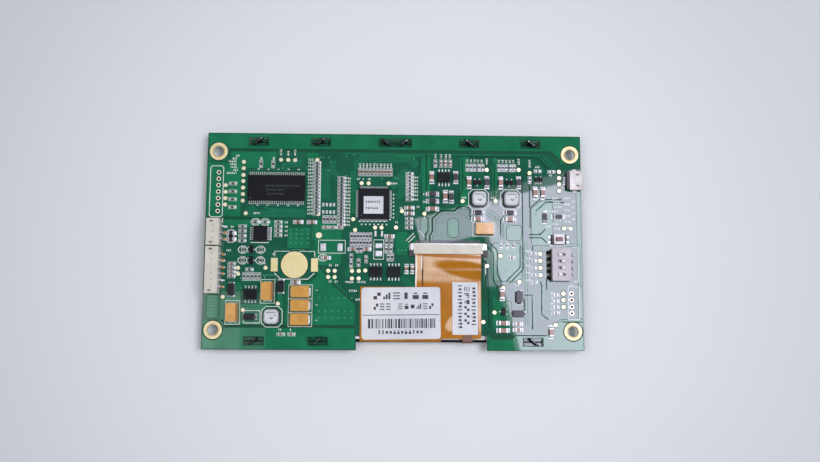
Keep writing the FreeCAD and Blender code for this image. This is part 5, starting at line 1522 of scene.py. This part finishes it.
@dataclass
class Labels:
    """Printing on the paper labels: bars, a rule and rows of plain shapes that say nothing."""

    level: float = FLEX_TOP + 0.1
    height: float = 0.008
    turn: float = 0.8
    seed: int = 4
    sticker_level: float = 7.6

    def bars(self, rng: random.Random) -> list[Stamp]:
        """Lay upright bars of random width beside each other.

        Args:
            rng: source of the widths and gaps.

        Returns:
            The bars.
        """
        bars = []
        x, end = -9.9, 15.8
        while x < end:
            width = rng.choice((0.22, 0.22, 0.4, 0.62, 0.85))
            bars.append(Stamp(x + width / 2, -31.85 + 0.014 * x, self.level, (width, 3.6, self.height),
                              self.turn))
            x += width + rng.choice((0.28, 0.3, 0.45, 0.7))
        return bars

    def build(self) -> None:
        """Print both labels and the sticker."""
        rng = random.Random(self.seed)
        strokes = []
        # Start of each row, number of signs, their size, and the row's turn.
        for x, y, count, size, turn in (
                (-8.0, -21.4, 6, (2.95, 2.6), self.turn), (-7.9, -25.5, 3, (1.9, 2.4), self.turn),
                (1.4, -25.3, 6, (1.9, 2.1), self.turn), (-6.2, -35.15, 12, (1.17, 1.6), self.turn),
                (25.2, -33.6, 13, (1.05, 1.7), 90), (27.9, -32.0, 6, (2.0, 2.0), 90),
                (30.5, -32.6, 11, (1.1, 1.7), 90)):
            kinds = tuple(Sign) if size[0] > 1.5 else Sign.plain()
            strokes += Sign.row((x, y, self.level), count, size, self.height, turn, rng, kinds)
        stamps("label_print", Form.BLOCK, strokes + self.bars(rng), Finishes.PRINT)
        strips("label_rule", [[(-11.9, -28.75), (17.2, -28.35)]], 0.26, self.level, self.height,
               Finishes.PRINT)
        sticker = []
        for y, count in ((15.0, 7), (12.6, 6)):
            sticker += Sign.row((-11.3, y, self.sticker_level), count, (0.66, 1.0), self.height, 0, rng,
                                Sign.plain())
        stamps("sticker_print", Form.BLOCK, sticker, Finishes.PRINT)


@dataclass
class PartMarks:
    """Moulded and printed marks on the parts: laser rows, pin dimples, painted side shade, glazed bodies, dots."""

    frame: dict[str, Any]

    def chip_marks(self) -> None:
        """Scorch three rows into the memory chip, and sink a dimple beside each chip's first pin."""
        laser = [Stamp(start + 0.8 * i, 21.0 - 1.6 * row, 7.1, (0.5, 0.9 - 0.15 * (i % 3), 0.006))
                 for row, (start, count) in enumerate(((-49.8, 17), (-49.4, 9), (-49.0, 8)))
                 for i in range(count)]
        stamps("memory_marks", Form.BLOCK, laser, Finishes.LASER)
        deep = 0.03
        dimples = [Stamp(-55.9, 16.2, 7.085, (0.9, 0.9, deep)), Stamp(-12.9, 9.6, 7.485, (0.8, 0.8, deep))]
        dimples += [Stamp(box.low.x + 0.8, box.low.y + 0.8, box.high.z - 0.01, (0.6, 0.6, deep))
                    for box in solids(self.frame, "small_chips")]
        stamps("pin_dimples", Form.DISC, dimples, Finishes.LASER)

    def shells(self) -> None:
        """Spread the black glaze of the larger resistors over the inner part of their ends."""
        shells = []
        for box in solids(self.frame, "chip_resistors"):
            if box.small:
                continue
            wide, long = 1.04, 1.55
            stretch = (wide, long) if box.upright else (long, wide)
            shells.append(Stamp(box.centre.x, box.centre.y, box.low.z + 0.02,
                                (box.size.x * stretch[0], box.size.y * stretch[1], box.size.z + 0.03)))
        stamps("chip_shells", Form.LAND, shells, Finishes.SHELL_EPOXY)

    def build(self) -> None:
        """Mark chips and inductors, and paint shade on the capacitors' sides."""
        self.chip_marks()
        # A strip of painted shade along the right side of each upright amber body.
        sides = [Stamp(b.high.x - 0.32, b.centre.y, b.high.z - 0.004, (0.6, b.size.y - 0.1, 0.012))
                 for b in solids(self.frame, "tantalum_bodies") if b.upright]
        stamps("tantalum_sides", Form.BLOCK, sides, Finishes.AMBER_SIDE_SHADE)
        self.shells()
        places = ((-1.3, 1.5), (-0.6, 1.6), (0.1, 1.5), (0.8, 1.6), (1.5, 1.4), (1.6, 0.4), (-0.3, -0.5),
                  (0.2, -0.9), (0.6, -0.5))
        dots = [Stamp(box.centre.x + u, box.centre.y + v, box.high.z - 0.004, (0.52, 0.52, 0.02))
                for box in solids(self.frame, "inductor_tops") for u, v in places]
        stamps("inductor_marks", Form.DISC, dots, Finishes.PRINT)


@dataclass
class Sockets:
    """Small forms of the sockets and switches that the solids leave out, and painted shade beside the switch."""

    pin_rows: tuple[tuple[float, int, float], ...] = ((2.5, 3, 2.5), (-12.0, 6, 2.5))
    roof: float = 11.0

    def along_pins(self, name: str, form: Form, x: float, sink: float, size: tuple[float, float, float],
                   finish: Finish) -> None:
        """Set a form over every pin of the two wire sockets.

        Args:
            name: the piece's name.
            form: the form.
            x: its place in X.
            sink: how far it starts below the sockets' roof.
            size: its size.
            finish: its finish.
        """
        places = [place for row in self.pin_rows for place in in_row(x, *row)]
        stamps(name, form, [Stamp(x, y, self.roof - sink, size) for x, y in places], finish)

    def build(self) -> None:
        """Add dimples, ribs, the painted shade beside the switch and the flex socket's contact ends."""
        self.along_pins("socket_dimples", Form.DISC, -69.1, 0.005, (0.55, 0.55, 0.02), Finishes.SHADE_NYLON)
        self.along_pins("socket_ribs", Form.BLOCK, -67.0, 0.002, (0.5, 1.6, 0.012), Finishes.NYLON)
        # Blocks of painted shade beside the switch, between its leads.
        switch_shade_blocks = [Stamp(59.75, -4.2 - 2.46 * k, FOOT, (1.6, 1.3, 0.9)) for k in range(5)]
        stamps("dip_switch_standoffs", Form.BLOCK, switch_shade_blocks, Finishes.SWITCH_SIDE_SHADE)
        _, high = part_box("flex_socket_body")
        y, z = high[1] / MM - 0.35, high[2] / MM - 0.004
        combs = [Stamp(20.7 + 0.5 * (k - 24.5), y, z, (0.22, 0.55, 0.01)) for k in range(50)]
        stamps("flex_socket_comb", Form.BLOCK, combs, Finishes.TIN)


@dataclass
class TabGlints:
    """Bare sheared metal at the edges of the twisted tabs, where the coating broke."""

    level: float = 8.05
    edges: tuple[tuple[float, float, float], ...] = (
        (-53.3, 38.65, 40), (-29.1, 38.65, 40), (29.1, 38.65, -40), (53.3, 38.65, -40), (-53.3, -38.65, 40),
        (-29.1, -38.65, 40), (53.3, -38.65, -40), (-3.5, 38.65, -40), (3.5, 38.65, 40))
    ends: tuple[tuple[float, float, float], ...] = (
        (-52.1, 39.55, 40), (-27.9, 39.55, 40), (4.4, 39.3, 40), (28.0, 39.5, -40), (52.3, 39.5, -40))

    def build(self) -> None:
        """Lay a thin edge along the top of each tab's head, and a bright end on some."""
        for name, form, places, size, finish in (
                ("tab_edges", Form.LAND, self.edges, (3.2, 0.42, 0.012), Finishes.CUT_STEEL),
                ("tab_glints", Form.DOME, self.ends, (0.9, 0.42, 0.1), Finishes.BRIGHT_STEEL)):
            stamps(name, form, [Stamp(x, y, self.level, size, turn) for x, y, turn in places], finish)


class Reach(Enum):
    """What a studio light does: light the object, show in its gloss, or both."""

    LIGHT = "light"
    GLOSS = "gloss"
    BOTH = "both"


@dataclass
class Studio:
    """Camera at the photograph's angle, pale floor and soft lights."""

    camera_place: tuple[float, float, float] = (-2.95, -39.43, 332.41)
    camera_target: tuple[float, float, float] = (5.95, 3.85, 6.0)
    camera_roll: float = 0.258
    lens: float = 37.32
    floor_colour: str = "#D4D8D9"
    # Colour of the painted shade at the floor's far ends.
    far_shade_colour: str = "#BEC3C6"
    light_colour: tuple[float, float, float] = (0.98, 0.96, 1.04)
    mirrored_colour: tuple[float, float, float] = (1.03, 0.95, 1.2)
    ambient: float = 0.6
    ceiling: float = 0.1
    dark_above: float = 0.86
    dark_over: float = 0.12
    lamp_height: float = 1.0
    lamp_step: float = 0.002
    floor_drop: float = 0.3
    floor_half: float = 3.0

    def camera(self) -> None:
        """Set the camera."""
        data = bpy.data.cameras.new("camera")
        data.lens = self.lens
        data.sensor_width = 36.0
        data.clip_start = 0.01
        data.dof.use_dof = False
        eye = new_object("camera", data)
        place = Vector(self.camera_place) * MM
        back = (place - Vector(self.camera_target) * MM).normalized()
        right = Vector((0, 1, 0)).cross(back).normalized()
        up = back.cross(right)
        roll = Matrix.Rotation(math.radians(self.camera_roll), 3, "Z")
        frame = Matrix((right, up, back)).transposed() @ roll
        eye.matrix_world = Matrix.Translation(place) @ frame.to_4x4()
        bpy.context.scene.camera = eye

    def soft_box(self, name: str, middle: Point, size: Point, turn: float, radiance: float,
                 reach: Reach) -> None:
        """Hang a level soft light about one metre above the floor, each a little higher than the last.

        Args:
            name: the light's name.
            middle: its centre in X and Y, in metres.
            size: its length and width in metres.
            turn: its turn in degrees.
            radiance: light that leaves it.
            reach: whether it lights, shows in gloss, or both.
        """
        height = self.lamp_height + self.lamp_step * len(bpy.data.lights)
        data = bpy.data.lights.new(name, "AREA")
        data.shape = "RECTANGLE"
        data.size, data.size_y = size
        data.energy = radiance * math.pi * data.size * data.size_y
        data.color = self.mirrored_colour if reach is Reach.GLOSS else self.light_colour
        lamp = new_object(name, data)
        lamp.location = (middle[0], middle[1], height)
        lamp.rotation_euler = (0, 0, math.radians(turn))
        lamp.visible_glossy = reach is not Reach.LIGHT
        lamp.visible_diffuse = reach is not Reach.GLOSS

    def floor(self) -> None:
        """Lay a pale floor, darkened by painted shade towards its far ends."""
        def build(work: bmesh.types.BMesh) -> None:
            """Fill the mesh with a level grid."""
            bmesh.ops.create_grid(work, x_segments=8, y_segments=8, size=self.floor_half)

        ground = new_object("floor", new_mesh("floor", build))
        ground.data.transform(Matrix.Translation((0, 0, -self.floor_drop * MM)))
        # Uncoated paper: matt, and even but for painted shade towards its far ends,
        # so that otherwise only the module's shadow shows on it.
        paper = Backdrop("matt_backdrop_paper", self.floor_colour, 0.9, self.far_shade_colour, grain_mm=0.5,
                         relief_mm=0.01, ior=1.3)
        ground.data.materials.append(paper.material())

    def world(self) -> None:
        """Give a pale surrounding that darkens overhead."""
        world = bpy.data.worlds.new("studio")
        world.use_nodes = True
        tree = world.node_tree
        tree.nodes.clear()
        path = add_node(tree, "ShaderNodeLightPath")
        sight = add_node(tree, "ShaderNodeTexCoord").outputs["Generated"]
        upward = add_node(tree, "ShaderNodeSeparateXYZ", {"Vector": sight}).outputs["Z"]
        level = add_node(tree, "ShaderNodeMapRange", {
            "Value": upward, "From Min": self.dark_above - self.dark_over, "From Max": self.dark_above,
            "To Min": self.ambient, "To Max": self.ceiling},
            interpolation_type="SMOOTHSTEP").outputs["Result"]
        around = add_node(tree, "ShaderNodeBackground", {"Color": linear("#F1F3F6"), "Strength": level})
        behind = add_node(tree, "ShaderNodeBackground", {"Color": linear("#E0E4EC"), "Strength": 0.9})
        mix = add_node(tree, "ShaderNodeMixShader", {0: path.outputs["Is Camera Ray"], 1: around.outputs[0],
                                                     2: behind.outputs[0]})
        add_node(tree, "ShaderNodeOutputWorld", {"Surface": mix.outputs[0]})
        bpy.context.scene.world = world

    def build(self) -> None:
        """Set up camera, lights, floor and surroundings."""
        scene = bpy.context.scene
        scene.view_settings.view_transform = "Standard"
        self.camera()
        # Name, middle and size in metres, turn, radiance and reach of each light.
        cards = [("left_card", ((edge - 0.55) / 2, -0.13), (edge + 0.55, 0.34), 0, 0.8, Reach.BOTH)
                 for edge in (-0.19, -0.23, -0.27)]
        for light in (
                ("key_box", (0.422, 0.012), (0.46, 0.50), 15, 11.0, Reach.LIGHT),
                ("key_front", (0.427, 0.007), (0.458, 0.480), 15, 8.0, Reach.GLOSS),
                ("key_step", (0.159, 0.078), (0.022, 0.056), 10, 3.6, Reach.GLOSS),
                ("key_rim", (0.424, 0.012), (0.468, 0.502), 15, 1.8, Reach.GLOSS),
                ("upper_card", (0.100, 0.146), (0.11, 0.05), 15, 6.0, Reach.GLOSS), *cards,
                ("fill_box", (-0.45, 0.05), (0.5, 0.7), 0, 1.9, Reach.LIGHT)):
            self.soft_box(*light)
        self.floor()
        self.world()


class Dresser:
    """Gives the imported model's own nodes their finishes."""

    FINISHES: tuple[tuple[Finish, str], ...] = (
        (Finishes.MASK, "main_board"),
        (Finishes.CELL_GOLD, "plated_lands"),
        (Finishes.BEZEL, "bezel_frame"),
        (Finishes.FRAME, "panel_frame"),
        (Finishes.POLARISER, "front_polariser rear_polariser"),
        (Finishes.GLASS, "colour_filter_glass tft_glass"),
        (Finishes.FILM, "prism_sheet diffuser_sheet light_guide reflector_sheet"),
        (Finishes.TAIL, "led_strip backlight_flex"),
        (Finishes.FOAM, "foam_tape"),
        (Finishes.FLEX, "display_flex"),
        (Finishes.NYLON, "flex_socket_body short_wire_socket long_wire_socket"),
        (Finishes.DARK_NYLON, "flex_lock usb_tongue push_switch_base"),
        (Finishes.CONTACT, "flex_socket_contacts"),
        (Finishes.SOLDER, "flex_socket_tabs chip_terminals"),
        (Finishes.PAPER, "module_label side_label controller_sticker"),
        (Finishes.MOULD, "memory_chip controller_chip transceiver_chip small_chips transistors "
                         "panel_driver_chip"),
        (Finishes.TIN, "memory_leads controller_leads transceiver_leads small_chip_leads transistor_leads "
                       "diode_leads tantalum_terminals socket_pins usb_contacts push_switch_leads"),
        (Finishes.FERRITE, "inductor_bases"),
        (Finishes.RESIN, "inductor_tops"),
        (Finishes.AMBER, "tantalum_bodies"),
        (Finishes.RESISTOR, "chip_resistors"),
        (Finishes.CERAMIC, "chip_capacitors"),
        (Finishes.DIODE, "diodes"),
        (Finishes.SHELL, "usb_shell push_switch_cover"),
        (Finishes.SWITCH, "dip_switch_body"),
        (Finishes.SHADED_LEAD, "dip_switch_leads"),
        (Finishes.LEVER, "dip_lever_1 dip_lever_2 dip_lever_3 dip_lever_4 backlight_leds"),
        (Finishes.MAROON, "push_button"),
    )

    def build(self, frame: dict[str, Any]) -> None:
        """Put each finish on the slots of its nodes.
        """
        by_node = {name: finish for finish, names in self.FINISHES for name in names.split()}
        for name, node in frame["nodes"].items():
            material = by_node[name].material()
            if not node.material_slots:
                node.data.materials.append(material)
            for slot in node.material_slots:
                slot.material = material


def main() -> None:
    """Build the whole scene."""
    logging.basicConfig(level=logging.INFO, format="%(message)s")
    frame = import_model()
    Studio().build()
    Dresser().build(frame)
    Board().build()
    Silkscreen(frame).build()
    Lands().build()
    SolderWork(frame).build()
    Labels().build()
    PartMarks(frame).build()
    Sockets().build()
    TabGlints().build()
    LOG.info("module dressed")


if __name__ == "__main__":
    main()
